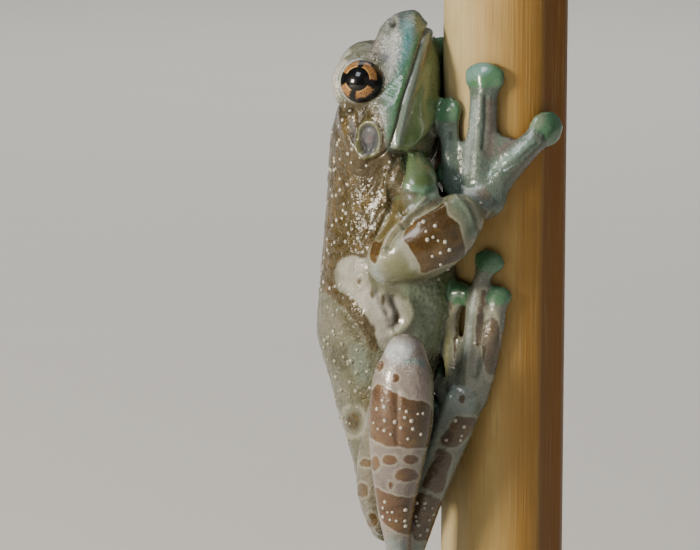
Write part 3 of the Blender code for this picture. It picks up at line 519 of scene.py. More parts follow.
def relaxed(points, edges, weight, rounds):
    """Each round moves a point by weight times the way to the mean of its neighbours."""
    count = np.bincount(edges.ravel(), minlength=len(points))[:, None]
    for _ in range(rounds):
        total = np.column_stack([
            np.bincount(edges[:, 0], points[edges[:, 1], k], len(points))
            + np.bincount(edges[:, 1], points[edges[:, 0], k], len(points)) for k in range(3)])
        points = points + np.reshape(weight, (-1, 1)) * (total / np.maximum(count, 1) - points)
    return points


skin = remeshed(joined_forms(flesh_grids(), "frog_skin"), VOXEL)
places = relaxed(points_of(skin), edges_of(skin), 0.5, 6)
set_points(skin, places)
print("skin quads", len(skin.data.polygons))

# %% [markdown]
# Eyelids, lips and nostrils need finer quads than the trunk does. The whole skin could be made
# finer, but that would make the model heavy for nothing. Only the quads near those places are
# cut in four, and the narrow ones near the lids' edges and the mouth once more.

# %% Places on the frog's right side, as the camera sees them
MOUTH = (
    (-9.5, 93.4), (-8.8, 94.0), (-7.9, 94.8), (-7.2, 96.1), (-6.5, 98.4), (-5.8, 101.3), (-4.6, 105.0),
    (-3.7, 108.2), (-2.95, 110.0), (-1.6, 111.3),
)
EARDRUM_AT, EARDRUM_HALF = (369.0, 139.0), (10.9, 17.0)
NOSTRIL_AT, NOSTRIL_HALF = (392.8, 22.8), (3.5, 5.0)

NOSE_FROM = 108.0                # height over which the nostrils lie
HEAD_FROM, HEAD_TO = 92.0, 98.0  # heights between which the back's skin gives way to the head's
NARROW_FOLD = 0.6                # folds less wide than this, in millimetres, need finer quads
# Folds as parts, line, width and height in millimetres: a positive height stands out
FOLDS = (
    ("body", ((343, 103), (345, 118), (351, 136), (359, 151), (371, 158)), 0.85, 0.55),
    ("body", ((352, 106), (354, 122), (358, 140), (366, 153)), 0.4, -0.5),
    ("body", ((371, 60), (377, 45), (386, 31)), 0.9, 0.3),
    ("body", ((383, 62), (389, 47), (395, 34)), 0.9, -0.2),
    ("body", ((380, 61), (384, 68), (386, 82), (380, 97), (370, 106)), 0.5, -0.55),
    ("body", ((388, 149), (399, 154), (410, 153), (421, 145), (433, 131), (440, 116),
     (444, 100)), 0.42, -0.9),
    ("body", ((392, 143), (403, 146), (413, 143), (423, 133), (431, 120), (436, 106)), 0.9, 0.42),
    ("body", ((391, 156), (389, 172), (388, 190), (389, 206)), 0.55, 0.45),
    ("body", ((408, 152), (403, 168), (397, 184), (389, 213)), 0.36, -0.6),
    ("body", ((392, 164), (388, 184), (381, 206), (371, 228), (366, 246)), 0.8, 0.35),
    ("body", ((389, 207), (381, 220), (374, 236)), 0.45, 0.4),
    ("body", ((397, 210), (388, 224), (380, 238)), 0.45, 0.35),
    ("body", ((367, 268), (372, 288), (380, 304), (386, 322)), 0.5, 0.3),
    ("body", ((376, 290), (381, 303), (390, 316)), 0.4, -0.3),
    ("body", ((392, 294), (397, 308), (398, 322), (393, 331)), 0.55, -0.5),
    ("body", ((405, 298), (411, 309), (410, 319), (402, 328), (389, 337)), 0.6, 0.55),
    ("body", ((423, 300), (428, 315), (427, 330)), 0.8, -0.3),
    ("body", ((352, 112), (348, 140), (350, 180), (352, 215)), 1.6, 0.18),
    ("upper_arm", ((409, 150), (404, 166), (398, 183), (390, 206)), 0.45, -1.0),
    ("upper_arm forearm", ((400, 228), (411, 219), (425, 211), (438, 203), (446, 193)), 0.34, -0.6),
    ("upper_arm", ((392, 215), (402, 212), (416, 204), (430, 197)), 0.7, 0.3),
    ("forearm", ((413, 226), (426, 218), (440, 210), (449, 201)), 0.6, 0.25),
    ("forearm hand", ((457, 190), (470, 204), (478, 220), (482, 234)), 0.4, -0.4),
    ("upper_arm", ((391, 156), (389, 172), (388, 190), (389, 206)), 0.6, 0.5),
    ("upper_arm", ((436, 158), (441, 172), (439, 188)), 0.35, -0.3),
    ("upper_arm", ((396, 196), (402, 206), (404, 216)), 0.35, -0.3),
    ("upper_arm", ((390, 206), (384, 220), (376, 234)), 0.35, -0.35),
    ("upper_arm", ((400, 187), (413, 190), (426, 193), (438, 190)), 0.45, -0.3),
    ("upper_arm", ((411, 219), (418, 208), (426, 196)), 0.45, 0.3),
    ("forearm", ((387, 250), (391, 240), (402, 227), (414, 219)), 0.34, -0.6),
    ("forearm", ((400, 222), (392, 232), (386, 244), (384, 254)), 0.4, 0.4),
    ("forearm", ((394, 222), (386, 230), (378, 242), (374, 254)), 0.38, -0.35),
    ("forearm", ((386, 220), (378, 232), (371, 246)), 0.35, 0.35),
    ("forearm", ((452, 192), (466, 206), (473, 222), (477, 236)), 0.5, 0.2),
    ("shank", ((397, 386), (397, 415), (397, 447)), 0.4, -0.32),
    ("shank", ((386, 352), (398, 347), (411, 352)), 1.0, 0.2),
    ("foot", ((470, 335), (463, 362), (452, 392), (440, 425), (428, 462)), 0.55, 0.28),
    ("foot", ((478, 350), (473, 368), (467, 388)), 0.35, -0.4),
    ("hand", ((452, 196), (464, 186), (478, 181)), 0.5, 0.15),
    ("finger3", ((486, 92), (486, 112), (485, 132), (483, 152)), 0.35, -0.28),
    ("finger4", ((500, 171), (514, 163), (528, 152), (541, 141)), 0.35, -0.28),
)


def distance_to_line(spots, line):
    """Distance from each flat spot to the nearest stretch of a line, and how far along it that is."""
    start, stretch = line[:-1], np.diff(line, axis=0)
    offset = spots[:, None, :] - start[None]
    t = np.clip((offset * stretch).sum(-1) / np.maximum((stretch ** 2).sum(-1), 1e-12), 0.0, 1.0)
    gap = np.linalg.norm(offset - t[..., None] * stretch, axis=-1)
    nearest = gap.argmin(axis=1)
    rows = np.arange(len(spots))
    return gap[rows, nearest], (nearest + t[rows, nearest]) / len(start)


def oval_share(spots, middle, half):
    """How far out flat spots lie in an oval: 0 in its middle, 1 on its edge."""
    return np.hypot((spots[:, 0] - middle[0]) / half[0], (spots[:, 1] - middle[1]) / half[1])


def framed(spots, line, margin):
    """True for the flat spots inside the upright box round a line, with a margin in pixels."""
    low, high = np.min(line, axis=0) - margin, np.max(line, axis=0) + margin
    return ((spots > low) & (spots < high)).all(axis=1)


def round_eye(points, side):
    """Middle of an eyeball, distance and ray of each point from it, and degrees off the gaze."""
    centre, ahead = eye_place(side)
    offset = points - centre
    reach = np.linalg.norm(offset, axis=1)
    ray = offset / reach[:, None]
    return centre, reach, ray, np.degrees(np.arccos(np.clip(ray @ ahead, -1.0, 1.0)))


def refined(item, chosen):
    """Cuts in four the quads whose edges have both ends chosen."""
    shape = bmesh.new()
    shape.from_mesh(item.data)
    shape.edges.ensure_lookup_table()
    pairs = edges_of(item)
    picked = np.flatnonzero(chosen[pairs[:, 0]] & chosen[pairs[:, 1]])
    bmesh.ops.subdivide_edges(shape, edges=[shape.edges[i] for i in picked], cuts=1, use_grid_fill=True)
    shape.to_mesh(item.data)
    shape.free()


def near_features(item, eye_band, mouth_reach, spot_reach, fold_reach):
    """True near the eyes, the mouth line, the nostrils, the eardrums and the folds."""
    points = points_of(item)
    outward = normals_of(item)[:, 1] * np.sign(points[:, 1])
    local = straight_head(points)
    chosen = np.zeros(len(points), bool)
    for side in (RIGHT, LEFT):
        _, reach, _, angle = round_eye(points, side)
        chosen |= (reach < 5.4) & (angle > eye_band[0]) & (angle < eye_band[1])
    on_head = local[:, 2] > 91.0
    mouth_gap = distance_to_line(local[:, (0, 2)], curve_through(MOUTH, 4))[0]
    chosen |= on_head & (mouth_gap < mouth_reach) & (local[:, 0] > -10.5)
    mirrored = local * (1.0, -1.0, 1.0)
    uv = seen_at(turned_head(np.where(local[:, 1:2] > 0.0, mirrored, local)))
    ear = oval_share(uv, EARDRUM_AT, EARDRUM_HALF)
    nose = oval_share(uv, NOSTRIL_AT, (1.0, 1.0)) * PIXEL
    off_middle = np.abs(local[:, 1])
    wide = off_middle > 8.0
    for part, line, width, height in FOLDS:
        close = np.flatnonzero(framed(uv, line, margin=12.0) & (outward > 0.1) & (off_middle > 3.0))
        gap = distance_to_line(uv[close], curve_through(line, 3))[0]
        chosen[close] |= (gap * PIXEL < fold_reach) & (width < NARROW_FOLD)
    at_drum = on_head & wide & (ear < spot_reach)
    return chosen | at_drum | ((local[:, 2] > NOSE_FROM) & (nose < 1.1 * spot_reach))


refined(skin, near_features(skin, (0.0, 105.0), 1.4, 1.45, 0.85))
refined(skin, near_features(skin, (46.0, 66.0), 0.5, 0.0, 0.0))
places = points_of(skin)
lined = near_features(skin, (0.0, 100.0), 1.3, 1.4, 0.7)
places = relaxed(places, edges_of(skin), np.where(lined, 0.5, 0.0), 4)
set_points(skin, places)
print("skin faces after refining", len(skin.data.polygons))

# %% [markdown]
# Every point of the skin has to know which part of the body it belongs to, because a marking
# stops at the edge of its own limb. The nearest centre line decides, measured from the surface
# of the form round it. The right side is painted as the camera sees it, and the left side takes
# the same place mirrored, as most frogs do.

# %% Which part each point belongs to
PAD_BORDER = 0.25                # how far past its pad a finger still has the pad's colour
PALM_MIDDLE, PALM_REACH = 1.0, 3.0
ARM_SHARE, LEG_SHARE = 0.3, 0.7  # the share of the hand's and the foot's shift that arm and leg take


def part_paths():
    """Name, side, centres and half thicknesses of every limb, digit and pad."""
    rows = []
    for side in (RIGHT, LEFT):
        for name, stations, shift in limbs_of(side):
            path = curve_through(limb(stations, side, shift), 5)
            rows.append((name, side, path[:, :3], path[:, 3:6].mean(axis=1)))
        hand_turn, hand_lift, foot_lift = HAND_TURN[side], HAND_SHIFT[side][2], FOOT_SHIFT[side][2]
        for name, digits, turn, lift in (("finger", FINGERS, hand_turn, hand_lift),
                                         ("toe", TOES, 0.0, foot_lift)):
            for number, (route, scale, width, pad) in enumerate(digits, 1):
                flat = flat_route(route, turn, lift)
                radius = DIGIT_RADIUS * scale
                level = np.full(len(flat), DIGIT_LIFT + radius)
                centres = wrapped(np.column_stack((flat[:, 0], level, flat[:, 1])), side)
                radii = np.full(len(flat) - 2, radius * width)
                rows.append((name + str(number), side, centres[:-2], radii))
                rows.append((name + "_pad", side, centres[-1:], np.array([min(pad) + PAD_BORDER])))
        palm_way = math.radians(PALM_PLACE[0] + hand_turn) * PERCH_RADIUS
        middle = wrapped(np.array([[palm_way, PALM_MIDDLE, PALM_PLACE[1] + hand_lift]]), side)
        rows.append(("hand", side, middle, np.array([PALM_REACH])))
    return rows


def body_gap(points):
    """How far outside the trunk's oval a point lies: (rho - 1) times the mean half size there."""
    rows = curve_through(BODY, 6)
    order = np.argsort(rows[:, 2])
    local = straight_head(points)
    x, back, belly, width = (np.interp(points[:, 2], rows[order, 2], rows[order, k]) for k in (0, 3, 4, 5))
    depth = np.where(local[:, 0] < x, back, belly)
    rho = np.hypot((local[:, 0] - x) / depth, local[:, 1] / width)
    beyond = np.maximum(0.0, rows[:, 2].min() - points[:, 2])
    return (rho - 1.0) * (depth + width) / 2 + beyond


def parted(points):
    """The name of each point's part, and the shift that the left limbs have against the right."""
    best = body_gap(points)
    names = np.full(len(points), "body", dtype="U12")
    shift = np.zeros((len(points), 3))
    for name, side, centres, radii in part_paths():
        gap = (np.linalg.norm(points[:, None, :] - centres[None], axis=-1) - radii).min(axis=1)
        closer = gap < best
        best = np.where(closer, gap, best)
        names[closer] = name
        if name == "upper_arm":
            shift[closer] = HAND_SHIFT[side] * ARM_SHARE
        elif name.startswith(("finger", "forearm", "hand")):
            shift[closer] = HAND_SHIFT[side]
        else:
            shift[closer] = FOOT_SHIFT[side] * LEG_SHARE
    return names, shift


def as_right(points, names, shift):
    """Points of the left side moved to where the right side has them."""
    body = names == "body"
    local = np.where(body[:, None], straight_head(points), points - shift)
    left = points[:, 1] > 0.0
    local[left, 1] *= -1.0
    return np.where(body[:, None], turned_head(local), local)


def rows_of(names):
    """Numbers of the points that belong to the named parts."""
    return np.flatnonzero(np.isin(parts, names.split()))


parts, shifts = parted(places)
print("points by part", {name: int((parts == name).sum()) for name in np.unique(parts)})

# %% [markdown]
# Folds, lips and lids could be sculpted by hand. Here each one is a line with a width and a
# height, and every point near it moves along its own normal by a bell of its distance. The lines
# are given in pixels of the 700 by 550 picture, because that is where they can be checked.

# %% Lines and outlines in the picture
FAR_OUTSIDE = -60.0              # what counts as the distance well outside an outline, in pixels


def outline_distance(spots, outline):
    """Signed distance in pixels to a smooth closed outline, positive inside it."""
    ring = curve_through(outline, 4, closed=True)
    loop = np.vstack((ring, ring[:1]))
    far = np.full(len(spots), FAR_OUTSIDE)
    near = framed(spots, ring, margin=25.0)
    here = spots[near]
    if not len(here):
        return far
    gap = distance_to_line(here, loop)[0]
    a, b = loop[:-1], loop[1:]
    crosses = (a[None, :, 1] > here[:, 1:2]) != (b[None, :, 1] > here[:, 1:2])
    drop = np.where(b[:, 1] == a[:, 1], 1e-9, b[:, 1] - a[:, 1])
    reach = a[:, 0] + (here[:, 1:2] - a[:, 1]) * (b[:, 0] - a[:, 0]) / drop
    inside = (crosses & (here[:, 0:1] < reach)).sum(axis=1) % 2 == 1
    far[near] = np.where(inside, gap, -gap)
    return far


def spot_distance(spots, spot):
    """Signed distance in pixels to an ellipse given as u, v, half width and half height."""
    return (1.0 - oval_share(spots, spot[:2], spot[2:])) * min(spot[2:])


def line_bell(spots, line, width):
    """Bell of the distance to a smooth line in the picture, the width in millimetres."""
    near = framed(spots, line, margin=30.0)
    result = np.zeros(len(spots))
    gap, along = distance_to_line(spots[near], curve_through(line, 5))
    ends = smoothstep(along, -0.001, 0.08) * (1.0 - smoothstep(along, 0.92, 1.001))
    result[near] = bell(gap * PIXEL, width) * ends
    return result


# %% Loose skin
def wrinkles(points):
    """Mean of four sines, each of a wave vector times the point plus a slower sine that bends it."""
    waves = np.array(((1.9, 0.7, 3.1), (-2.3, 1.6, 2.2), (0.8, 3.3, 1.7), (2.9, -1.9, -1.2)))
    total = np.zeros(len(points))
    for number, wave in enumerate(waves):
        bend = 1.7 * np.sin(points @ (wave[[1, 2, 0]] * 0.37) + number)
        total += np.sin(points @ wave + bend)
    return total / len(waves)


# %% Move the skin into folds, lips, nostrils and eardrums
local = straight_head(places)
right = as_right(places, parts, shifts)
uv = seen_at(right)
normals = normals_of(skin)
facing_y = np.where(places[:, 1] > 0.0, -normals[:, 1], normals[:, 1])
facing = smoothstep(facing_y * VIEW_BACK[1] + normals[:, 2] * VIEW_BACK[2], 0.0, 0.35)
on_body = parts == "body"
rise = np.zeros(len(places))
for part, line, width, height in FOLDS:
    chosen = rows_of(part)
    rise[chosen] += height * facing[chosen] * line_bell(uv[chosen], line, width)

mouth_line = curve_through(MOUTH, 6)
mouth_gap = distance_to_line(local[:, (0, 2)], mouth_line)[0]
mouth_turn = np.interp(local[:, 2], mouth_line[:, 1], mouth_line[:, 0])
below_mouth = local[:, 0] > mouth_turn
at_mouth = on_body & (local[:, 2] > 92.4) & (local[:, 0] > -12.0)
lip = np.where(below_mouth, 0.24 * bell(mouth_gap - 0.75, 0.45) - 0.15 * bell(mouth_gap - 1.9, 0.6),
               0.16 * bell(mouth_gap - 0.5, 0.4))
at_front = smoothstep(local[:, 2], 106.5, 110.5)
groove = (0.18 + 0.15 * at_front) * bell(mouth_gap, 0.16 + 0.04 * at_front)
rise += at_mouth * smoothstep(local[:, 2], 93.2, 94.0) * (lip - groove)

jaw_tip = at_mouth * bell(np.hypot(local[:, 0] + 0.6, local[:, 2] - 110.3), 1.3) * below_mouth
places = places + turned_head(local + (0.5, 0.0, 0.0)) * jaw_tip[:, None] - places * jaw_tip[:, None]

ear_rho = oval_share(uv, EARDRUM_AT, EARDRUM_HALF)
at_ear = on_body * facing * (np.abs(local[:, 1]) > 7.0)
rise += at_ear * (0.3 * bell(ear_rho - 1.0, 0.14) - 0.16 * (1.0 - smoothstep(ear_rho, 0.7, 0.95)))
nose_rho = oval_share(uv, NOSTRIL_AT, NOSTRIL_HALF)
at_nose = on_body & (local[:, 2] > NOSE_FROM)
rise += at_nose * facing * (0.16 * bell(nose_rho - 1.4, 0.4) - 0.6 * bell(nose_rho, 0.75))
of_head = smoothstep(local[:, 2], HEAD_FROM, HEAD_TO)
loose = (on_body | (parts == "thigh")) * (1.0 - 0.6 * of_head)
loose = loose * smoothstep(-local[:, 0], 2.0, 6.0) * smoothstep(ear_rho, 1.25, 1.8)
loose = loose * (1.0 - bell(mouth_gap, 1.2))
rise += 0.13 * loose * wrinkles(places)
places = places + normals * rise[:, None]
print("largest rise and hollow, mm", rise.max().round(2), rise.min().round(2))

# %% [markdown]
# An eyelid hugs the ball of the eye. A ring could be added round each eye, but it would look like
# a washer. Here the bulge itself is drawn in: the skin in front of the pupil sinks out of sight
# behind the ball, and the skin round it bends down to the ball in a thin rim.

# %% Draw the lids round the eyes
LID_ANGLE = 56.5                 # from the gaze to the edge of the lids, in degrees
LID_REACH, LID_SPREAD = 5.6, 80.0    # what is within this distance and angle of the eye is drawn in
rim = np.zeros(len(places))
lid_side = np.zeros(len(places))
for side in (RIGHT, LEFT):
    centre, reach, ray, angle = round_eye(places, side)
    upper = ray @ turned_way((-1.0, 0.0, 0.0))
    opening = LID_ANGLE - 2.5 * smoothstep(upper, 0.2, 0.8) + 2.0 * smoothstep(-upper, 0.2, 0.8)
    past = angle - opening
    lid = EYE_RADIUS + 0.02 + np.clip(past, -8.0, 4.0) * 0.055 + 0.16 * smoothstep(past, 2.0, 9.0)
    blend = smoothstep(past, 5.0, 17.0)
    near = (reach < LID_REACH) & (angle < LID_SPREAD)
    target = np.where(past < -7.0, EYE_RADIUS - 0.45, lid * (1.0 - blend) + reach * blend)
    places = np.where(near[:, None], centre + ray * target[:, None], places)
    rim = np.maximum(rim, near * bell(past - 2.0, 2.6))
    lid_side = np.where(near, upper, lid_side)
set_points(skin, places)
places = relaxed(places, edges_of(skin), np.where(on_body, 0.12, 0.2), 2)
set_points(skin, places)
skin.data.shade_smooth()
print("skin triangles", sum(len(face.vertices) - 2 for face in skin.data.polygons))

# %% [markdown]
# The colours are mixed from a small palette, as a painter of museum models lays them: a ground
# colour for each part first, then soft washes, and at last the brown patches with their pale
# borders. Some washes are painted shade in creases and hollows, and some painted highlights on
# lit edges. An image could be painted and wrapped on. Values on the points need no image, and
# the edges stay crisp, because the points carry a distance to the edge and not a colour.

# %% Palette
PURER, SHARE_SHOWN = 1.25, 0.5


def linear(code):
    """A colour from its six-figure code, made linear: ((c + 0.055) / 1.055) to the power 2.4."""
    values = np.array([int(code[i:i + 2], 16) for i in (0, 2, 4)]) / 255.0
    return np.where(values <= 0.04045, values / 12.92, ((values + 0.055) / 1.055) ** 2.4)


def pigment(code):
    """The colour a surface needs to show as the given one: half of its linear colour, made purer.

    Purer means moved away from its own grey by a quarter more.
    """
    values = linear(code)
    grey = values @ (0.2126, 0.7152, 0.0722)
    return np.clip((grey + (values - grey) * PURER) * SHARE_SHOWN, 0.002, 0.9)


GROUND = {"body": "8a8b78", "upper_arm": "71845a", "forearm": "a2a28b", "hand": "949d95", "thigh": "948d7c",
          "shank": "b3a69d", "foot": "a2aba2", "finger": "78877c", "toe": "8d9184", "pad": "6c9675"}
PATCH = {"body": "584c2d", "upper_arm": "857b66", "forearm": "664e2d", "hand": "84766b", "thigh": "776245",
         "shank": "7b5f49", "foot": "6b5a48", "finger": "7d7468", "toe": "6a5f50", "pad": "3f6e48"}
# How coarse the skin is: 1 is the wrinkled back, 0 a smooth film
COARSE = {"body": 1.0, "upper_arm": 0.06, "forearm": 0.1, "hand": 0.45, "thigh": 0.7, "shank": 0.32,
          "foot": 0.32, "finger": 0.4, "toe": 0.22, "pad": 0.03}
CREAM_LINE = pigment("d9d3bd")


def kind_of(name):
    """The palette's name for a part: every finger is a finger and every pad a pad."""
    if name.endswith("pad"):
        return "pad"
    return name.rstrip("12345")


# %% Outlines of the brown patches, and spots as u, v, half width and half height
PATCHES = (
    ("body", ((296, 96), (345, 100), (372, 104), (384, 125), (387, 150), (404, 158), (401, 176), (395, 196),
     (387, 214), (376, 238), (368, 258), (351, 256), (339, 262), (335, 276), (338, 290), (352, 297),
     (364, 312), (372, 327), (378, 344), (378, 352), (371, 350), (364, 336), (352, 318), (338, 303),
     (322, 292), (296, 290))),
    ("forearm", ((403, 238), (410, 224), (423, 213), (437, 205), (445, 205), (448, 215), (458, 223),
     (462, 237), (465, 250), (458, 260), (437, 268), (422, 273), (420, 265), (413, 253), (408, 246))),
    ("forearm", ((370, 256), (372, 246), (380, 234), (388, 226), (385, 240), (380, 252), (375, 264))),
    ("shank", ((376, 386), (379, 384), (390, 390), (400, 396), (410, 400), (425, 402), (432, 410),
     (431, 430), (428, 446), (414, 448), (404, 448), (398, 446), (390, 447), (382, 444), (374, 440),
     (367, 430), (366, 400))),
    ("shank", ((372, 487), (384, 492), (396, 496), (410, 498), (420, 496), (418, 515), (413, 533),
     (400, 533), (390, 528), (382, 520), (378, 508))),
    ("foot", ((456, 416), (463, 417), (474, 418), (476, 424), (470, 433), (462, 442), (456, 447),
     (448, 447), (440, 442), (444, 434), (450, 426))),
    ("foot", ((438, 449), (450, 454), (452, 460), (448, 470), (446, 482), (440, 494), (430, 490),
     (422, 486), (424, 478), (432, 463))),
    ("foot", ((417, 493), (428, 495), (440, 500), (442, 510), (438, 526), (434, 538), (422, 541),
     (413, 538), (411, 520), (413, 506))),
)
SPOTS = (
    ("body", (359, 281, 2.6, 3.6)), ("body", (372.5, 294, 2.2, 6.5)), ("body", (383, 300, 2.6, 6.0)),
    ("body", (398, 319, 3.4, 6.5)), ("body", (372, 331, 3.5, 8.0)), ("body thigh", (353, 421, 6.5, 9.0)),
    ("thigh", (366, 463, 6.0, 4.0)), ("thigh", (362, 490, 6.0, 7.0)), ("thigh", (372, 520, 5.0, 7.0)),
    ("thigh", (345, 392, 5.0, 5.0)), ("body", (362, 452, 6.0, 5.0)), ("body", (366, 480, 6.0, 7.0)),
    ("body", (372, 512, 5.0, 8.0)), ("shank", (375, 463.5, 4.4, 7.0)), ("shank", (389.5, 460, 7.4, 5.0)),
    ("shank", (410.5, 459.5, 7.4, 4.6)), ("shank", (406.5, 475, 11.5, 6.6)),
    ("shank", (391, 485, 2.6, 3.4)), ("shank", (395, 378, 4.5, 4.5)), ("shank", (380, 366, 4.0, 5.0)),
    ("hand", (479, 213, 7.5, 4.5)), ("foot", (462, 399, 3.6, 4.2)), ("toe4", (480, 330, 4.0, 26.0)),
    ("toe4", (484, 298, 3.4, 8.0)), ("toe5", (491, 345, 9.0, 30.0)), ("toe3", (450, 300, 3.0, 10.0)),
    ("toe3", (456, 345, 2.6, 14.0)),
)

# %% Paint the patches: distance to the nearest edge in millimetres, positive inside
NO_PATCH = -9.0
patch = np.full(len(places), NO_PATCH)
for marks, distance in ((PATCHES, outline_distance), (SPOTS, spot_distance)):
    for part, mark in marks:
        chosen = rows_of(part)
        patch[chosen] = np.maximum(patch[chosen], distance(uv[chosen], mark) * PIXEL)
print("share of the skin under brown patches", round(float((patch > 0.0).mean()), 2))

# %% Ground colours and washes
# What lies between the neck and the dark crease of the arm has the neck's skin
ARM_CREASE = ((376, 140), (409, 149), (404, 166), (398, 183), (390, 206), (384, 216), (374, 190))
# A wash is parts, colour, strength, and a line with a width in millimetres that it follows
WASHES = (
    # dark olive band right under the eye: its own colour, with painted shade under the eye's bulge
    ("body", "5a4d31", 0.8, ((338, 106), (350, 110), (364, 110), (376, 104)), 0.9),
    # pale left edge of the upper lid, partly a painted highlight along its lit edge
    ("body", "e3e3d8", 0.9, ((347, 59), (337, 68), (331, 82), (331, 96), (335, 104)), 0.6),
    ("body", "d0d3c8", 0.7, ((377, 58), (384, 67), (389, 62)), 0.5),
    # olive crescents in the groove round the front of the eye: partly olive skin, partly painted shade in
    # the groove
    ("body", "56552f", 0.9, ((373, 57), (380, 60), (384, 68)), 0.3),
    ("body", "59562f", 0.9, ((388, 84), (388, 95), (381, 106), (371, 112)), 0.45),
    ("body", "dfe5e2", 0.9, ((384, 74), (385, 86), (380, 97), (371, 104), (362, 106)), 0.18),
    # pale lower lip: its own pale band, with a painted highlight along it
    ("body", "9aa89c", 0.9, ((431, 31), (426, 41), (421, 53), (416, 66), (412, 82), (409, 98)), 0.45),
    ("body", "a9bcae", 0.9, ((409, 90), (405, 108), (402, 122), (399, 134), (393, 144), (384, 150)), 0.42),
    ("body", "a9986a", 0.8, ((434, 33), (429, 45), (424, 58), (419, 72)), 0.25),
    ("body", "7c8a52", 0.6, ((414, 148), (424, 138), (432, 126), (438, 112)), 0.5),
    # near-black line at the right edge of the jaw: painted shade where the jaw turns away from the light
    ("body", "20281a", 0.75, ((440, 90), (438, 110), (430, 130)), 0.4),
    ("body", "c5c8ae", 0.85, ((405, 298), (411, 309), (409, 320), (400, 329), (388, 337)), 0.5),
    ("body", "d3cfba", 0.85, ((351, 297), (364, 312), (373, 327), (379, 343)), 0.22),
    ("body", "c9c6b2", 0.7, ((338, 262), (350, 256), (366, 259)), 0.3),
    # dark line in the crease between the neck and the arm: painted shade
    ("body", "3f3723", 0.8, ((394, 170), (399, 186), (391, 204), (382, 216)), 0.4),
    ("body", "97703f", 0.4, ((400, 184), (396, 196)), 0.3),
    # dark line in the groove of the belly: painted shade
    ("body", "2f2a1d", 0.6, ((386, 290), (391, 303), (398, 316), (393, 330)), 0.35),
    ("upper_arm", "c5d3c2", 0.85, ((438, 186), (430, 200), (418, 211), (410, 219)), 0.3),
    ("upper_arm", "8db59c", 0.7, ((402, 186), (414, 188), (428, 190), (437, 186)), 0.45),
    # darker green along the top of the arm, partly painted shade under the jaw
    ("upper_arm", "4c6a3f", 0.7, ((399, 160), (412, 152), (428, 152)), 0.7),
    ("upper_arm", "c3c4ae", 0.85, ((408, 218), (417, 208), (428, 196)), 0.3),
    ("upper_arm forearm", "c6bd9e", 0.85, ((389, 216), (380, 228), (370, 246)), 0.3),
    ("upper_arm forearm", "c6bd9e", 0.85, ((402, 220), (392, 232), (386, 246)), 0.3),
    ("forearm", "7f8158", 0.8, ((384, 268), (395, 262), (404, 268), (408, 280)), 1.3),
    # darker green-grey along the underside of the forearm: painted shade
    ("forearm", "5e6a50", 0.85, ((400, 289), (430, 286), (455, 271), (470, 250)), 0.75),
    ("forearm", "c9cabb", 0.85, ((396, 238), (403, 247), (411, 258), (415, 271)), 0.5),
    # pale spot on the elbow's left edge: painted highlight
    ("forearm", "b9c4bf", 0.8, ((374, 262), (377, 275), (384, 284)), 0.5),
    ("forearm", "7f9280", 0.8, ((452, 198), (464, 210), (471, 226), (474, 240)), 0.9),
    # near-white on the back of the hand: painted highlight
    ("hand", "e2e9e9", 0.95, ((462, 186), (467, 174), (470, 162)), 1.3),
    ("hand", "85776a", 0.8, ((480, 188), (484, 193), (482, 200)), 1.0),
    ("hand", "7d8a74", 0.8, ((496, 190), (498, 205), (488, 218)), 0.7),
    # pale left edge of the third finger: painted highlight
    ("finger3", "bccac8", 0.85, ((466, 176), (468, 152), (472, 130), (475, 96)), 0.4),
    ("finger3", "7c706a", 0.85, ((488, 160), (491, 142), (491, 120), (490, 96)), 0.7),
    ("finger4", "8b7f7c", 0.85, ((492, 152), (506, 146), (522, 128), (530, 122)), 0.6),
    ("finger4", "9cb5a8", 0.85, ((484, 176), (500, 164), (520, 150), (536, 138)), 0.6),
    ("finger4", "7c7468", 0.8, ((512, 176), (526, 166), (542, 150)), 0.5),
    ("finger2", "8a9c94", 0.8, ((446, 122), (446, 145), (450, 170)), 0.5),
    ("finger2", "3d4a40", 0.8, ((450, 130), (450, 140)), 0.25),
    ("body thigh", "c9c6b2", 0.85, ((353, 405), (362, 410), (365, 421), (361, 433), (353, 437), (344, 432),
     (341, 420), (345, 409), (353, 405)), 0.3),
    # pale top of the knee, partly a painted highlight
    ("shank", "eef3f5", 0.95, ((384, 356), (398, 349), (412, 356)), 1.3),
    ("shank", "83a5a3", 0.75, ((402, 362), (416, 361), (426, 366)), 0.35),
    ("shank", "d3cdc4", 0.8, ((377, 384), (390, 389), (400, 393), (420, 400)), 0.18),
    # green-grey down the right side of the shank, partly painted shade on the side away from the light
    ("shank", "808a68", 0.9, ((432, 355), (435, 385), (431, 430), (425, 480), (416, 530)), 0.75),
    ("shank", "9db0ae", 0.75, ((386, 538), (396, 546), (408, 548)), 1.2),
    # pale line along the ridge of the instep: painted highlight
    ("foot", "c0cdc6", 0.8, ((470, 330), (463, 362), (452, 392), (440, 422), (428, 456), (420, 486)), 0.4),
    # darker olive along the right side of the foot, partly painted shade
    ("foot", "6c7154", 0.85, ((483, 395), (474, 425), (462, 458), (450, 500), (444, 530)), 0.55),
    ("toe3", "aeab80", 0.8, ((446, 380), (447, 350), (450, 320), (455, 300)), 0.35),
    # pale left edge of the fourth toe: painted highlight
    ("toe4", "bcc8c1", 0.85, ((476, 288), (472, 310), (469, 335), (465, 360)), 0.35),
    ("toe4", "a89c98", 0.6, ((478, 356), (474, 368)), 0.5),
)
# Browns that darken across a limb, painted shade toward the right of the forearm and shank, and darker
# toward the back's outline on the trunk: part, deeper brown, and from where to where across the picture
DEEPENED = (("forearm", "503f22", 410, 466), ("shank", "5d482c", 396, 428), ("body", "5f4f2c", 352, 318))
# Height up to which the brown of the back reaches on the straight head, and the waves of its edge:
# how high, how many radians a millimetre toward the side, and how many toward the belly
NECK_EDGE = 99.4
NECK_WAVES = ((0.7, 0.9, 0.0), (0.4, 2.1, 1.3))
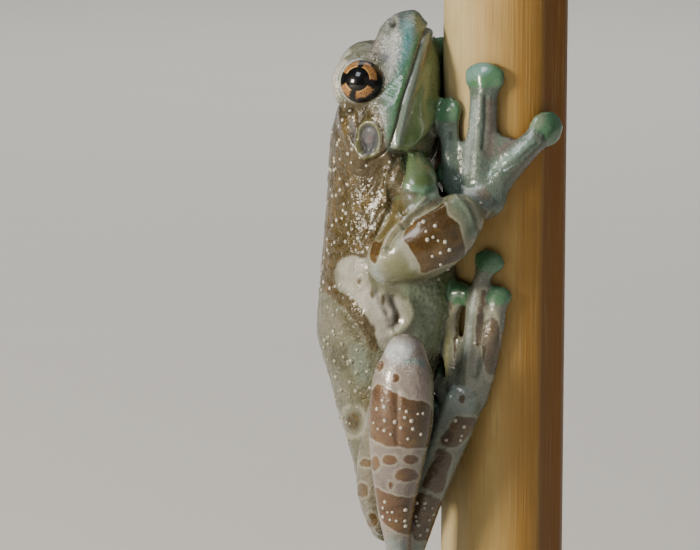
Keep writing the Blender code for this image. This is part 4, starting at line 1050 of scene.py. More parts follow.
# The silvery places, where the skin mirrors the light and white glints are painted in: part, outline, share
SILVER_AND_GLINT = (
    ("body", ((376, 56), (384, 38), (391, 30), (400, 30), (402, 50), (398, 74), (391, 92), (386, 96),
     (386, 84), (382, 66)), 1.0),
    ("body", ((372, 58), (380, 36), (389, 18), (398, 16), (396, 30), (386, 42), (378, 60)), 0.5),
    ("body", ((374, 108), (385, 108), (387, 128), (385, 146), (378, 151), (380, 130)), 0.8),
    ("body", ((346, 60), (334, 74), (329, 90), (334, 104), (340, 98), (338, 78), (346, 66)), 0.5),
    ("hand", ((456, 190), (462, 168), (474, 164), (486, 172), (480, 186), (466, 192)), 0.9),
    ("finger3", ((461, 176), (464, 150), (470, 116), (477, 96), (480, 120), (476, 150), (474, 176)), 0.5),
    ("toe4", ((470, 286), (480, 286), (478, 330), (466, 330)), 0.3),
    ("shank", ((378, 360), (386, 346), (400, 342), (414, 348), (420, 362), (410, 374), (396, 368),
     (382, 378)), 0.5),
)
# Where the trunk's skin is stretched and smooth: the cream flank and the belly
CALM = (
    ((338, 263), (350, 257), (367, 259), (380, 276), (400, 286), (404, 328), (394, 338), (381, 348),
     (364, 312), (340, 286)),
    ((398, 284), (425, 284), (462, 270), (460, 300), (448, 340), (430, 352), (404, 340)),
)
# A soft area is part, colour, strength, outline, and how wide its edge is in millimetres
AREAS = (
    ("body", "8b7c66", 0.55, ((322, 190), (350, 200), (366, 230), (352, 250), (330, 262),
     (318, 250)), 1.5),
    ("body", "a3a8a1", 0.95, ((368, 64), (377, 42), (385, 24), (395, 12), (408, 12), (410, 40), (403, 64),
     (394, 84), (386, 92), (382, 74)), 1.0),
    ("body", "a0958a", 0.7, ((366, 62), (374, 46), (382, 40), (384, 50), (378, 62)), 0.6),
    # pale silvery middle of the snout, partly a painted sheen
    ("body", "d9dcd8", 0.9, ((378, 60), (388, 50), (391, 34), (397, 32), (398, 50), (399, 66), (394, 78),
     (389, 88), (386, 76)), 0.8),
    ("body", "4f5f60", 0.85, ((398, 12), (404, 9), (406, 18), (403, 28), (398, 28)), 0.5),
    ("body", "7b918e", 0.85, ((396, 10), (410, 7), (418, 11), (412, 16), (402, 13)), 0.5),
    ("body", "93a07c", 0.9, ((414, 10), (424, 14), (430, 22), (424, 30), (415, 28)), 0.7),
    ("body", "6fa5a6", 0.95, ((403, 22), (413, 24), (413, 40), (409, 56), (404, 70), (398, 72),
     (400, 50)), 0.8),
    ("body", "6d9a88", 0.9, ((400, 66), (409, 56), (407, 70), (402, 86), (396, 104), (391, 112), (391, 96),
     (396, 80)), 0.7),
    ("body", "4f8054", 0.9, ((417, 34), (423, 30), (419, 42), (414, 54), (409, 68), (405, 84), (402, 98),
     (398, 112), (395, 126), (391, 136), (387, 141), (384, 140), (388, 128), (392, 112), (397, 92),
     (403, 74), (409, 58), (414, 44)), 0.45),
    ("body", "7fa392", 0.85, ((384, 98), (392, 98), (394, 112), (391, 128), (387, 138), (384, 132),
     (386, 116)), 0.6),
    # pale silvery strip behind the corner of the mouth, partly painted highlights
    ("body", "c9d0cc", 0.9, ((374, 108), (382, 106), (386, 120), (386, 136), (383, 148), (378, 150),
     (380, 130)), 0.5),
    ("body", "9cb07f", 0.97, ((436, 36), (430, 46), (425, 58), (420, 72), (415, 92), (411, 112), (407, 128),
     (403, 140), (398, 148), (409, 152), (421, 144), (433, 131), (441, 116), (446, 98), (444, 75),
     (440, 50)), 0.5),
    # olive-brown band under the eye, partly painted shade below the eye's bulge
    ("body", "655a36", 0.9, ((330, 106), (345, 103), (360, 107), (374, 103), (381, 112), (374, 122),
     (350, 119), (332, 118)), 0.4),
    ("body", "76915f", 0.6, ((398, 146), (404, 134), (414, 128), (424, 130), (414, 146), (406, 151)), 0.7),
    ("body", "d2cec3", 0.92, ((338, 263), (350, 257), (367, 259), (369, 288), (384, 292), (400, 297),
     (404, 328), (394, 338), (381, 348), (373, 327), (364, 312), (351, 297), (340, 286)), 0.6),
    ("body", "a29a88", 0.6, ((353, 274), (362, 272), (366, 282), (358, 290), (352, 284)), 0.7),
    ("body", "9a9a80", 0.7, ((366, 262), (384, 278), (400, 290), (396, 302), (380, 292), (369, 284)), 0.7),
    ("body", "a3b297", 0.95, ((398, 284), (425, 286), (457, 274), (457, 300), (446, 340), (430, 350),
     (412, 338), (412, 308)), 0.7),
    ("body", "737f5b", 0.8, ((436, 282), (458, 272), (458, 300), (447, 340), (438, 344), (444, 310)), 0.7),
    ("body", "77755c", 0.9, ((314, 300), (336, 302), (352, 318), (364, 338), (376, 352), (374, 380),
     (380, 520), (350, 520), (330, 400), (314, 340)), 1.0),
    ("body", "5d5638", 0.8, ((340, 312), (352, 320), (362, 338), (358, 342), (346, 328)), 0.4),
    ("body", "96907f", 0.8, ((324, 306), (338, 314), (342, 334), (330, 340), (318, 322)), 0.6),
    ("body", "8f9a8a", 0.8, ((350, 344), (366, 352), (370, 374), (362, 384), (350, 366)), 0.6),
    ("body", "565139", 0.7, ((334, 346), (346, 350), (350, 366), (340, 372), (330, 358)), 0.5),
    ("body", "8d8a78", 0.7, ((330, 374), (344, 378), (348, 396), (338, 400)), 0.5),
    ("body", "7c6f4c", 0.7, ((360, 392), (372, 398), (374, 416), (366, 412)), 0.5),
    ("upper_arm", "6b5f42", 1.0, ARM_CREASE, 0.12),
    ("upper_arm", "7d7662", 0.9, ((398, 188), (410, 190), (422, 196), (416, 210), (402, 221),
     (390, 222)), 0.5),
    ("upper_arm", "86a080", 0.9, ((420, 190), (437, 184), (440, 194), (427, 207), (413, 217),
     (414, 208)), 0.5),
    ("forearm", "7d7662", 0.9, ((386, 222), (402, 224), (411, 217), (425, 209), (438, 201), (443, 193),
     (432, 184), (400, 190)), 0.2),
    ("upper_arm", "766942", 0.95, ((396, 198), (406, 214), (396, 228), (378, 256), (368, 250),
     (380, 222)), 0.25),
    ("upper_arm", "86997a", 0.6, ((405, 158), (420, 150), (428, 160), (420, 176), (406, 180)), 0.8),
    ("shank", "b7aaa2", 0.9, ((374, 370), (400, 376), (428, 384), (424, 397), (400, 391),
     (376, 382)), 0.3),
    ("shank", "9f948e", 0.9, ((372, 448), (426, 448), (421, 494), (396, 494), (374, 486)), 0.3),
    ("finger_pad", "93b8b0", 0.8, ((462, 62), (474, 56), (488, 58), (490, 72), (474, 78), (464, 86)), 0.5),
    ("finger_pad", "a3b39c", 0.8, ((526, 110), (540, 106), (546, 118), (538, 130), (528, 128)), 0.4),
    ("finger4", "59655a", 0.75, ((500, 176), (520, 152), (544, 130), (556, 142), (530, 166),
     (506, 186)), 0.6),
    # paler palm, partly a painted highlight
    ("hand", "c3cfcd", 0.75, ((458, 196), (463, 168), (488, 166), (492, 180), (480, 198)), 0.9),
    # painted shade on the lower part of the forearm
    ("forearm", "77785f", 0.6, ((384, 272), (404, 272), (432, 276), (464, 258), (470, 250), (458, 276),
     (430, 292), (398, 292)), 0.8),
    ("forearm", "75775f", 0.6, ((400, 262), (416, 266), (438, 284), (420, 291), (398, 289)), 1.2),
    ("foot", "b9c3bc", 0.6, ((468, 330), (484, 332), (478, 372), (462, 396), (452, 410), (460, 370)), 0.9),
    ("foot", "8a8f80", 0.7, ((440, 440), (462, 446), (448, 500), (440, 540), (416, 540), (420, 490)), 0.8),
)


def lay(colours, chosen, code, weight):
    """Mixes one pigment into the chosen rows of an array of colours, by a weight for each."""
    weight = np.clip(weight, 0.0, 1.0)[:, None]
    colours[chosen] = colours[chosen] * (1.0 - weight) + pigment(code) * weight


kinds = np.array([kind_of(name) for name in parts])
tone = np.zeros((len(places), 3))
brown = np.zeros((len(places), 3))
for kind in GROUND:
    tone[kinds == kind] = pigment(GROUND[kind])
    brown[kinds == kind] = pigment(PATCH[kind])
# painted shade: the browns of the forearm and shank darken across their limbs
for part, code, low, high in DEEPENED:
    chosen = rows_of(part)
    lay(brown, chosen, code, smoothstep(uv[chosen, 0], low, high))
for part, code, strength, outline, soft in AREAS:
    chosen = rows_of(part)
    depth = outline_distance(uv[chosen], outline) * PIXEL
    lay(tone, chosen, code, strength * smoothstep(depth, -soft, soft))
for part, code, strength, line, width in WASHES:
    chosen = rows_of(part)
    lay(tone, chosen, code, strength * line_bell(uv[chosen], line, width) ** 0.8)
print("painted points", len(tone))

# %% The eardrum, the nostril, the lids and the mouth get tones of their own, and painted shade in their hollows
# where the painted shade at the eardrum's lower left lies, along a slanted line
DRUM_SHADOW_EDGE, DRUM_SHADOW_SLOPE = (-96.0, -80.0), 0.6    # the drum's lower left, along a slanted line of the picture


def tint(code, weight):
    """Mixes one pigment into the ground of all points, by a weight for each."""
    lay(tone, slice(None), code, weight)


membrane = at_ear * (1.0 - smoothstep(ear_rho, 0.78, 0.98))
tint("343744", membrane * 0.97)
# painted shade on the left inner side of the sunken eardrum
tint("292822", membrane * smoothstep(EARDRUM_AT[0] - uv[:, 0], 1.0, 8.0) * 0.8)
tint("6f5658", membrane * bell(ear_rho - 0.05, 0.25) * 0.7)
tint("7d7a4e", at_ear * bell(ear_rho - 1.02, 0.13) * 0.95)
# painted shade in the dip round the eardrum's lower left
lower_left_shadow = smoothstep(uv[:, 1] - DRUM_SHADOW_SLOPE * uv[:, 0], *DRUM_SHADOW_EDGE)
tint("35332a", at_ear * bell(ear_rho - 1.32, 0.12) * lower_left_shadow * 0.5)
# painted shade in the hollow left of the eardrum, on the ground and the brown
hollow = at_ear * bell(ear_rho - 1.5, 0.35) * smoothstep(EARDRUM_AT[0] - uv[:, 0], 0.0, 3.5)
tint("4d462b", hollow * 0.85)
brown *= (1.0 - 0.4 * hollow)[:, None]
tint("b9beb4", at_nose * facing * bell(nose_rho - 1.5, 0.45) * 0.8)
# near-black in the dent of the nostril: painted shade
tint("2f3a33", at_nose * facing * (1.0 - smoothstep(nose_rho, 0.4, 1.0)) * 0.95)
tint("c3c5b8", rim * smoothstep(lid_side, 0.15, 0.6) * 0.8)
# dark olive on the lower and front rim of the lid, partly painted shade in the groove there
tint("57512f", rim * smoothstep(-lid_side, -0.05, 0.3) * 0.85)
# dark line along the mouth: painted shade in the groove of the lips
tint("35462f", at_mouth * bell(mouth_gap, 0.18) * 0.6)
patch = np.where(on_body & ((ear_rho < 1.12) | (rim > 0.3)), NO_PATCH, patch)
wave = sum(height * np.sin(aside * local[:, 1] + down * local[:, 0]) for height, aside, down in NECK_WAVES)
patch = np.where(on_body, np.minimum(patch, NECK_EDGE + wave - local[:, 2]), patch)

# %% Values the material reads at each point
below_chin = on_body & (local[:, 2] < HEAD_FROM)
grain = np.where(below_chin, 0.8 * smoothstep(places[:, 0], -6.5, -3.5), 0.0)
coarse = np.array([COARSE[kind] for kind in kinds])
behind_arm = (parts == "upper_arm") & (outline_distance(uv, ARM_CREASE) > 0.0)
coarse = np.where(behind_arm, 1.0, coarse)
for outline in CALM:
    calm = smoothstep(outline_distance(uv, outline) * PIXEL, -0.6, 0.4)
    coarse = np.where(on_body, coarse * (1.0 - 0.75 * calm), coarse)
in_throat = smoothstep(local[:, 0] - mouth_turn, 0.1, 0.9) * smoothstep(local[:, 2], 91.0, 94.0)
coarse = np.where(on_body, coarse * (1.0 - 0.93 * in_throat) * (1.0 - 0.25 * of_head), coarse)
near_line = at_mouth * bell(mouth_gap, 1.3)
silver_and_glint = np.zeros(len(places))
for part, outline, share in SILVER_AND_GLINT:
    chosen = rows_of(part)
    inside = smoothstep(outline_distance(uv[chosen], outline) * PIXEL, -0.5, 0.5)
    silver_and_glint[chosen] = np.maximum(silver_and_glint[chosen], share * inside)
near_ear = at_ear * (1.0 - smoothstep(ear_rho, 1.2, 1.5))
coarse = coarse * (1.0 - 0.85 * np.clip(near_ear + near_line + rim, 0.0, 1.0))


def point_value(item, name, values):
    """Stores one number, or one colour, on each point of a mesh."""
    if values.ndim == 1:
        layer = item.data.attributes.new(name, "FLOAT", "POINT")
        layer.data.foreach_set("value", values.astype(np.float32))
    else:
        layer = item.data.color_attributes.new(name, "FLOAT_COLOR", "POINT")
        full = np.column_stack((values, np.ones(len(values))))
        layer.data.foreach_set("color", full.astype(np.float32).ravel())


point_value(skin, "ground", tone)
point_value(skin, "brown", brown)
point_value(skin, "patch", patch)
point_value(skin, "lined", np.where(on_body, 0.0, np.where(kinds == "foot", 0.6, 1.0)))
point_value(skin, "grain", grain)
point_value(skin, "coarse", coarse)
off_nostril = 1.0 - at_nose * facing * (1.0 - smoothstep(nose_rho, 0.9, 1.5))
point_value(skin, "silver_and_glint", silver_and_glint * off_nostril)
point_value(skin, "dull", np.maximum(membrane, hollow * 0.7))
stored = [layer.name for layer in skin.data.attributes if not layer.name.startswith(".")]
print("values on the skin", stored)

# %% [markdown]
# A material is a web of nodes. Wiring it by hand hides the sums in it, so a small class lets the
# sums be written as sums: each one adds its Math node. A second class holds one material and makes
# every other node, with its settings first and its inputs after.

# %% A way to write shaders as sums
class Number:
    """A socket of a material that can be added, subtracted and multiplied."""

    def __init__(self, paint, socket):
        self.paint, self.socket = paint, socket

    def math(self, operation, first, second=0.0):
        """One Math node on one or two numbers."""
        return self.paint.node("ShaderNodeMath", {"operation": operation}, {0: first, 1: second})

    def __add__(self, other):
        return self.math("ADD", self, other)

    def __sub__(self, other):
        return self.math("SUBTRACT", self, other)

    def __rsub__(self, other):
        return self.math("SUBTRACT", other, self)

    def __mul__(self, other):
        return self.math("MULTIPLY", self, other)

    def __pow__(self, other):
        return self.math("POWER", self, other)

    __radd__ = __add__
    __rmul__ = __mul__


class Paint:
    """One material: a Principled shader, its own values, and the nodes that feed it."""

    def __init__(self, name, **values):
        self.material = bpy.data.materials.new(name)
        self.material.use_nodes = True
        self.tree = self.material.node_tree
        self.shader = next(node for node in self.tree.nodes if node.type == "BSDF_PRINCIPLED")
        self.finish(**values)

    def feed(self, socket, value):
        """Links a socket to a node's result, or sets it to a plain value."""
        if isinstance(value, Number):
            self.tree.links.new(value.socket, socket)
        elif socket.type == "RGBA":
            socket.default_value = (*value, 1.0)
        else:
            socket.default_value = value

    def node(self, kind, settings=None, inputs=None, output=0):
        """Makes one node, sets it up, feeds its inputs and gives one of its outputs."""
        made = self.tree.nodes.new(kind)
        for name, value in (settings or {}).items():
            setattr(made, name, value)
        for name, value in (inputs or {}).items():
            self.feed(made.inputs[name], value)
        return Number(self, made.outputs[output])

    def value(self, name):
        """The number that the points hold under a name."""
        return self.node("ShaderNodeAttribute", {"attribute_name": name}, output=2)

    def colour(self, name):
        """The colour that the points hold under a name."""
        return self.node("ShaderNodeAttribute", {"attribute_name": name}, output=0)

    def place(self, stretch=(1.0, 1.0, 1.0)):
        """The piece's own coordinates in millimetres, each axis multiplied by a stretch."""
        spot = self.node("ShaderNodeTexCoord", output=3)
        return self.node("ShaderNodeVectorMath", {"operation": "MULTIPLY"},
                         {0: spot, 1: [1000.0 * share for share in stretch]})

    def noise(self, spot, scale, detail=2.0, roughness=0.5, distortion=0.0):
        """Cloudy noise from about 0 to 1, the finer the larger its scale."""
        return self.node("ShaderNodeTexNoise", None, {"Vector": spot, "Scale": scale, "Detail": detail,
                                                      "Roughness": roughness, "Distortion": distortion})

    def cells(self, spot, scale, feature="F1"):
        """Distance to the nearest of scattered seeds, or to the border between two of them."""
        return self.node("ShaderNodeTexVoronoi", {"feature": feature}, {"Vector": spot, "Scale": scale})

    def step(self, value, low, high):
        """0 below low, 1 above high, smooth between."""
        return self.node("ShaderNodeMapRange", {"interpolation_type": "SMOOTHSTEP"},
                         {"Value": value, "From Min": low, "From Max": high})

    def mix(self, share, first, second):
        """First * (1 - share) + second * share."""
        return self.node("ShaderNodeMix", {"data_type": "RGBA"}, {0: share, 6: first, 7: second}, output=2)

    def over(self, colour, value, low, high, share, code):
        """Lays a share of a pigment over a colour, where the value has passed from low to high."""
        return self.mix(self.step(value, low, high) * share, colour, pigment(code))

    def split(self, vector):
        """The three numbers of a vector."""
        first = self.node("ShaderNodeSeparateXYZ", None, {"Vector": vector})
        return [Number(self, socket) for socket in first.socket.node.outputs]

    def bump(self, height, distance, normal=None):
        """Raises the surface by height times a distance in millimetres."""
        inputs = {"Height": height, "Distance": distance * MM, "Strength": 1.0}
        if normal is not None:
            inputs["Normal"] = normal
        return self.node("ShaderNodeBump", None, inputs)

    def finish(self, **values):
        """Sets or links the shader's own sockets, named with an underscore for each space."""
        for key, value in values.items():
            self.feed(self.shader.inputs[key.replace("_", " ").title().replace("Ior", "IOR")], value)
        return self.material


print("shader helpers ready")

# %% [markdown]
# The living skin is wet. Under a thin clear film lie a ground colour, fine mottling and brown
# patches with a pale line round them. The film is a coat with low roughness. Fine wrinkles and
# grains break its highlights into the small sparkles that make the skin look moist. Pale specks,
# partly painted sparkle, and white flecks on the silvery places, which are painted
# glints, are mixed into the colour.

# %% The skin's material
def skin_material():
    """Ground and brown from the points, mottled, with painted white glints on the silvery places, under a
    coat whose gloss the bumps break up.
    """
    paint = Paint("moist_skin", Coat_Roughness=0.12, Specular_IOR_Level=0.5,
                  Subsurface_Weight=0.05, Subsurface_Scale=0.001)
    spot = paint.place()
    wander = paint.noise(spot, 1.1, 3.0) - 0.5
    lined = paint.value("lined")
    edge = (paint.value("patch") + wander * 0.5) * (lined * 0.7 + 0.3)
    inside = paint.step(edge, -0.05, 0.08)
    border = paint.step(edge, -0.45, -0.2) * paint.step(edge, 0.0, -0.1) * lined
    coarse = paint.value("coarse")
    blotch = paint.noise(spot, 0.4, 4.0, 0.6)
    fine = paint.noise(spot, 2.6, 4.0, 0.65)
    fleck = paint.cells(spot, 2.1)
    some = coarse * 0.75 + 0.25
    ground = paint.over(paint.colour("ground"), blotch, 0.5, 0.74, 0.2, "c4c3b6")
    ground = paint.over(ground, blotch, 0.5, 0.28, 0.3, "55553f")
    ground = paint.over(ground, fine, 0.52, 0.7, some * 0.28, "cfcfc4")
    ground = paint.over(ground, fine, 0.46, 0.3, some * 0.35, "55523c")
    ground = paint.mix(border * 0.4, ground, CREAM_LINE)
    brown = paint.over(paint.colour("brown"), blotch, 0.48, 0.7, 0.4, "a58c60")
    brown = paint.over(brown, fine, 0.5, 0.7, some * 0.28, "a39579")
    brown = paint.over(brown, blotch, 0.5, 0.3, 0.45, "45341c")
    colour = paint.mix(inside, ground, brown)
    # pale specks, partly the skin's own haze and partly painted sparkle of the wet film
    haze_and_sparkle = paint.step(fleck, 0.17, 0.08) * paint.step(fine, 0.45, 0.6) * coarse
    colour = paint.mix(haze_and_sparkle * 0.15, colour, pigment("dcd8d2"))
    grains = paint.cells(spot, 1.45, "SMOOTH_F1")
    wrinkle = paint.noise(paint.place((1.0, 1.0, 0.6)), 1.75, 2.0, 0.55, 0.3)
    soft_fold = paint.noise(spot, 1.15, 2.0, 0.5, 0.5)
    wet = paint.step(paint.noise(spot, 0.5, 2.0), 0.4, 0.58) * coarse
    normal = paint.bump(soft_fold * (coarse * 0.95 + 0.05), 0.36)
    normal = paint.bump(wrinkle * (coarse * 0.11 + wet * 0.13 + 0.02), 0.42, normal)
    normal = paint.bump((1.0 - grains) * paint.value("grain"), 0.36, normal)
    silver_and_glint = paint.value("silver_and_glint")
    glitter = paint.noise(spot, 4.2, 2.0, 0.6)
    normal = paint.bump(glitter * (silver_and_glint * 0.26 + coarse * 0.03), 0.5, normal)
    dull = paint.value("dull")
    rough = 0.2 + fine * 0.18 - wet * 0.13 + silver_and_glint * 0.1 + dull * 0.3
    # white flecks on the silvery places: painted glints
    painted_glints = paint.step(glitter, 0.48, 0.66) * silver_and_glint * paint.step(blotch, 0.36, 0.6)
    colour = paint.mix(painted_glints * 0.75, colour, linear("f4f6f3"))
    return paint.finish(base_color=colour, roughness=rough,
                        coat_weight=(0.6 - coarse * 0.35) * (1.0 - dull * 0.85), normal=normal)


skin.data.materials.clear()
skin.data.materials.append(skin_material())
FLESH = [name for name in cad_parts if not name.startswith(("stand_", "eye", "perch"))]
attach(skin, "root")
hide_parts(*FLESH)
print("flesh nodes under the skin", len(FLESH))

# %% [markdown]
# Each eye is a ball with a slightly steeper cornea in front. The iris could be painted on a flat
# disc under a glass dome. At this size a single glossy ball shows the same thing: gold segments
# with dark gaps between them, round a black pupil. A flat map across the gaze places them.

# %% The eyeballs
EYE_RINGS, EYE_SIDES = 40, 64
CORNEA_RISE = 0.16
MAP_REACH = 10.0                 # width of the flat map of the eye, in millimetres


def eyeball(side, name):
    """Centre + radius(a) * (cos(a) * gaze + sin(a) * (cos(b) * toward the back + sin(b) * across))."""
    centre, ahead = eye_place(side)
    to_back = turned_way((-1.0, 0.0, 0.0))
    to_back = unit(to_back - (to_back @ ahead) * ahead)
    to_front = np.cross(to_back, ahead) * -side
    a = np.linspace(0.0, math.pi, EYE_RINGS)[:, None]
    b = np.linspace(0.0, 2.0 * math.pi, EYE_SIDES, endpoint=False)[None, :] * -side
    radius = EYE_RADIUS - 0.01 + CORNEA_RISE * np.exp(-(a / 0.55) ** 2)
    across_back = radius * np.sin(a) * np.cos(b)
    across_front = radius * np.sin(a) * np.sin(b)
    points = (centre + (radius * np.cos(a))[..., None] * ahead
              + across_back[..., None] * to_back + across_front[..., None] * to_front)
    vertices, quads, ends = closed_grid(points)
    item = mesh_object(name, vertices, quads, ends)
    flat = np.column_stack(((vertices - centre) @ to_back, (vertices - centre) @ to_front))
    corners = numbers_of(item.data.loops, "vertex_index", 1, np.int32)[:, 0]
    layer = item.data.uv_layers.new(name="EyePlane")
    layer.data.foreach_set("uv", (0.5 + flat[corners] / MAP_REACH).astype(np.float32).ravel())
    item.data.shade_smooth()
    return item


eyes = [eyeball(RIGHT, "eyeball_right"), eyeball(LEFT, "eyeball_left")]
print("eyeball faces", [len(item.data.polygons) for item in eyes])

# %% The iris, as rings and gaps on the flat map
PUPIL_AT = (0.36, 0.20)          # off the middle toward the back and toward the snout, in millimetres
PUPIL_RADIUS = 1.62
IRIS_RADIUS = 2.6
# The dark gaps of the ring as middle and half width, in degrees round the pupil
GAPS = ((5.0, 23.0), (101.0, 10.0), (197.0, 15.0), (288.0, 12.0))


def eye_material():
    """Black, but gold where a ring round the pupil isn't in one of its gaps: ring * outer * gaps."""
    paint = Paint("wet_eye", Roughness=0.3, Specular_IOR_Level=0.1, Coat_Weight=1.0, Coat_Roughness=0.02,
                  Coat_IOR=1.38)
    flat = paint.node("ShaderNodeUVMap", {"uv_map": "EyePlane"})
    to_back, to_snout, depth = paint.split(flat)
    upward = (to_back - 0.5) * MAP_REACH - PUPIL_AT[0]
    forward = (to_snout - 0.5) * MAP_REACH - PUPIL_AT[1]
    rough_line = paint.noise(flat, 28.0, 3.0) - 0.5
    reach = (upward * upward + forward * forward) ** 0.5
    ring = paint.step(reach + rough_line * 0.12, PUPIL_RADIUS, PUPIL_RADIUS + 0.06)
    outer = paint.step(reach + rough_line * 0.7, IRIS_RADIUS + 0.06, IRIS_RADIUS - 0.12)
    turn = forward.math("ARCTAN2", forward, upward)
    mask = ring * outer
    for middle, half in GAPS:
        off = turn.math("COSINE", turn - math.radians(middle))
        mask = mask * paint.step(off + rough_line * 0.06, math.cos(math.radians(half - 4.0)),
                                 math.cos(math.radians(half + 4.0)))
    veins = paint.cells(flat, 46.0, "DISTANCE_TO_EDGE")
    gold = paint.over(pigment("d9a878"), veins, 0.16, 0.02, 0.75, "4a2f1c")
    gold = paint.over(gold, reach, PUPIL_RADIUS + 0.28, PUPIL_RADIUS + 0.08, 1.0, "f2c48c")
    colour = paint.mix(mask, pigment("060505"), gold)
    return paint.finish(base_color=colour)


wet_eye = eye_material()
for item, node in zip(eyes, ("eye_right", "eye_left")):
    item.data.materials.append(wet_eye)
    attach(item, "root")
    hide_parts(node)
print("eyes are black with a gold ring of", round(IRIS_RADIUS - PUPIL_RADIUS, 2), "mm")

# %% [markdown]
# The cane is a cut length of bamboo, with a shallow bore at the top and one raised joint near its foot.
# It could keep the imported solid, but that has flat facets. The surface here is a profile turned
# round the cane's axis, with the long shallow channel that bamboo has above a joint.

# %% The cane of bamboo
CANE_SIDES, CANE_ROWS = 160, 130
JOINT_AT = 6.0                    # height of the joint over the foot of the cane, in millimetres
CHANNEL_ANGLE, CHANNEL_DEPTH, CHANNEL_REACH = math.radians(51.0), 0.7, 12.0
BORE_RADIUS, BORE_DEPTH = 5.6, 1.2


def cane(low, high):
    """Radius(z) turned round the axis, less the channel: never past the line at its own depth."""
    z = np.concatenate(([low, low, low + 0.25], np.linspace(low + 0.6, high - 0.4, CANE_ROWS),
                        [high - 0.1, high, high, high - 0.15, high - BORE_DEPTH, high - BORE_DEPTH]))
    joint = low + JOINT_AT
    outer = PERCH_RADIUS - 0.02 + 0.46 * bell(z - joint, 0.75) - 0.12 * bell(z - joint, 0.22)
    outer = outer - 0.28 * (1.0 - smoothstep(z, low, low + 0.5)) - 0.2 * smoothstep(z, high - 0.4, high)
    radius = outer.copy()
    radius[0] = 0.0
    radius[-4:] = (BORE_RADIUS + 0.15, BORE_RADIUS, BORE_RADIUS, 0.0)
    turn = np.linspace(0.0, 2.0 * math.pi, CANE_SIDES, endpoint=False)
    off = turn - CHANNEL_ANGLE
    reach = PERCH_RADIUS - CHANNEL_DEPTH + CHANNEL_REACH
    inside = np.clip(CHANNEL_REACH ** 2 - (reach * np.sin(off)) ** 2, 0.0, None)
    cut = np.where(np.cos(off) > 0.0, reach * np.cos(off) - np.sqrt(inside), 99.0)
    cut = np.where(reach * np.abs(np.sin(off)) < CHANNEL_REACH, cut, 99.0)
    share = smoothstep(z, joint + 1.2, joint + 6.0)[:, None]
    grooved = np.minimum(radius[:, None], cut[None, :]) * share + radius[:, None] * (1.0 - share)
    at_side = (np.arange(len(z)) >= 2) & (np.arange(len(z)) < len(z) - 4)
    reach_out = np.where(at_side[:, None], grooved, radius[:, None] + 0.0 * turn)
    x = PERCH_X + reach_out * np.sin(turn)
    y = -reach_out * np.cos(turn)
    return np.stack((x, y, np.broadcast_to(z[:, None], x.shape)), axis=-1)


vertices, quads, ends = closed_grid(cane(PERCH_LOW[2], PERCH_HIGH[2]))
bamboo = mesh_object("bamboo_cane", vertices, quads, ends)
print("cane faces", len(bamboo.data.polygons))

# %% Bamboo: long fine fibres, and bands of painted light and shade round the cane, cream to brown
def bamboo_material():
    """Bands of painted light and shade by the angle round the cane, and fibres of noise stretched along it.
    """
    paint = Paint("dry_bamboo", Coat_Roughness=0.3, Coat_Weight=0.15)
    spot = paint.place()
    x, y, z = paint.split(spot)
    turn = x.math("ARCTAN2", x - PERCH_X, y * -1.0)
    fibre = paint.noise(paint.place((1.0, 1.0, 0.02)), 3.2, 4.0, 0.65)
    streak = paint.noise(paint.place((1.0, 1.0, 0.035)), 0.7, 3.0, 0.5)
    cloud = paint.noise(paint.place((1.0, 1.0, 0.4)), 0.16, 3.0, 0.6)
    # cream on the left flank, tan in front, brown on the right and in the channel: painted light and shade
    # over the cane's tan
    shade = turn + (streak - 0.5) * 0.55
    colour = paint.over(pigment("ecd9ab"), shade, -1.05, -0.35, 1.0, "d8ba80")
    colour = paint.over(colour, shade, -0.35, 0.45, 1.0, "c2975a")
    colour = paint.over(colour, turn + (streak - 0.5) * 0.1, 0.60, 0.68, 1.0, "a3713a")
    colour = paint.over(colour, shade, 1.3, 2.2, 1.0, "cfae74")
    colour = paint.over(colour, fibre, 0.52, 0.72, 0.3, "f0dcae")
    colour = paint.over(colour, fibre, 0.46, 0.3, 0.35, "8a5f2e")
    colour = paint.over(colour, cloud, 0.5, 0.75, 0.35, "b0834a")
    joint = PERCH_LOW[2] + JOINT_AT
    colour = paint.over(colour, z, joint + 2.4, joint + 0.6, 0.4, "8f6a3c")
    height = fibre * 0.6 + streak * 0.4
    return paint.finish(base_color=colour, roughness=0.5 + fibre * 0.2, normal=paint.bump(height, 0.16))


smooth = bamboo.modifiers.new("smooth", "EDGE_SPLIT")
smooth.split_angle = math.radians(50.0)
bamboo.data.shade_smooth()
bamboo.data.materials.append(bamboo_material())
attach(bamboo, "root")
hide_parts("perch_bamboo")
print("bamboo colours run round the cane in four bands")

# %% [markdown]
# The stand is no part of the animal. It is a turned wooden foot and a short steel rod, as a museum
# would use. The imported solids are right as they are, so they stay and only get better finishes.

# %% Finishes of the stand
def wood_material():
    """Dark wood with bent growth rings and short pores."""
    paint = Paint("oiled_walnut", Coat_Weight=0.2, Coat_Roughness=0.25)
    bent = paint.noise(paint.place((0.25, 1.0, 1.0)), 0.06, 3.0, 0.5, 0.6)
    rings = paint.node("ShaderNodeTexWave", {"wave_type": "BANDS", "bands_direction": "Y"},
                       {"Vector": paint.place(), "Scale": 0.16, "Distortion": 5.0, "Detail": 3.0}, output=1)
    pores = paint.noise(paint.place((0.08, 1.4, 1.4)), 2.6, 3.0, 0.7)
    colour = paint.mix(rings * 0.6, pigment("4a3122"), pigment("6e4a31"))
    colour = paint.over(colour, bent, 0.4, 0.7, 0.5, "38241a")
    colour = paint.over(colour, pores, 0.45, 0.3, 0.6, "241610")
    return paint.finish(base_color=colour, roughness=0.42 + pores * 0.2, normal=paint.bump(pores, 0.08))


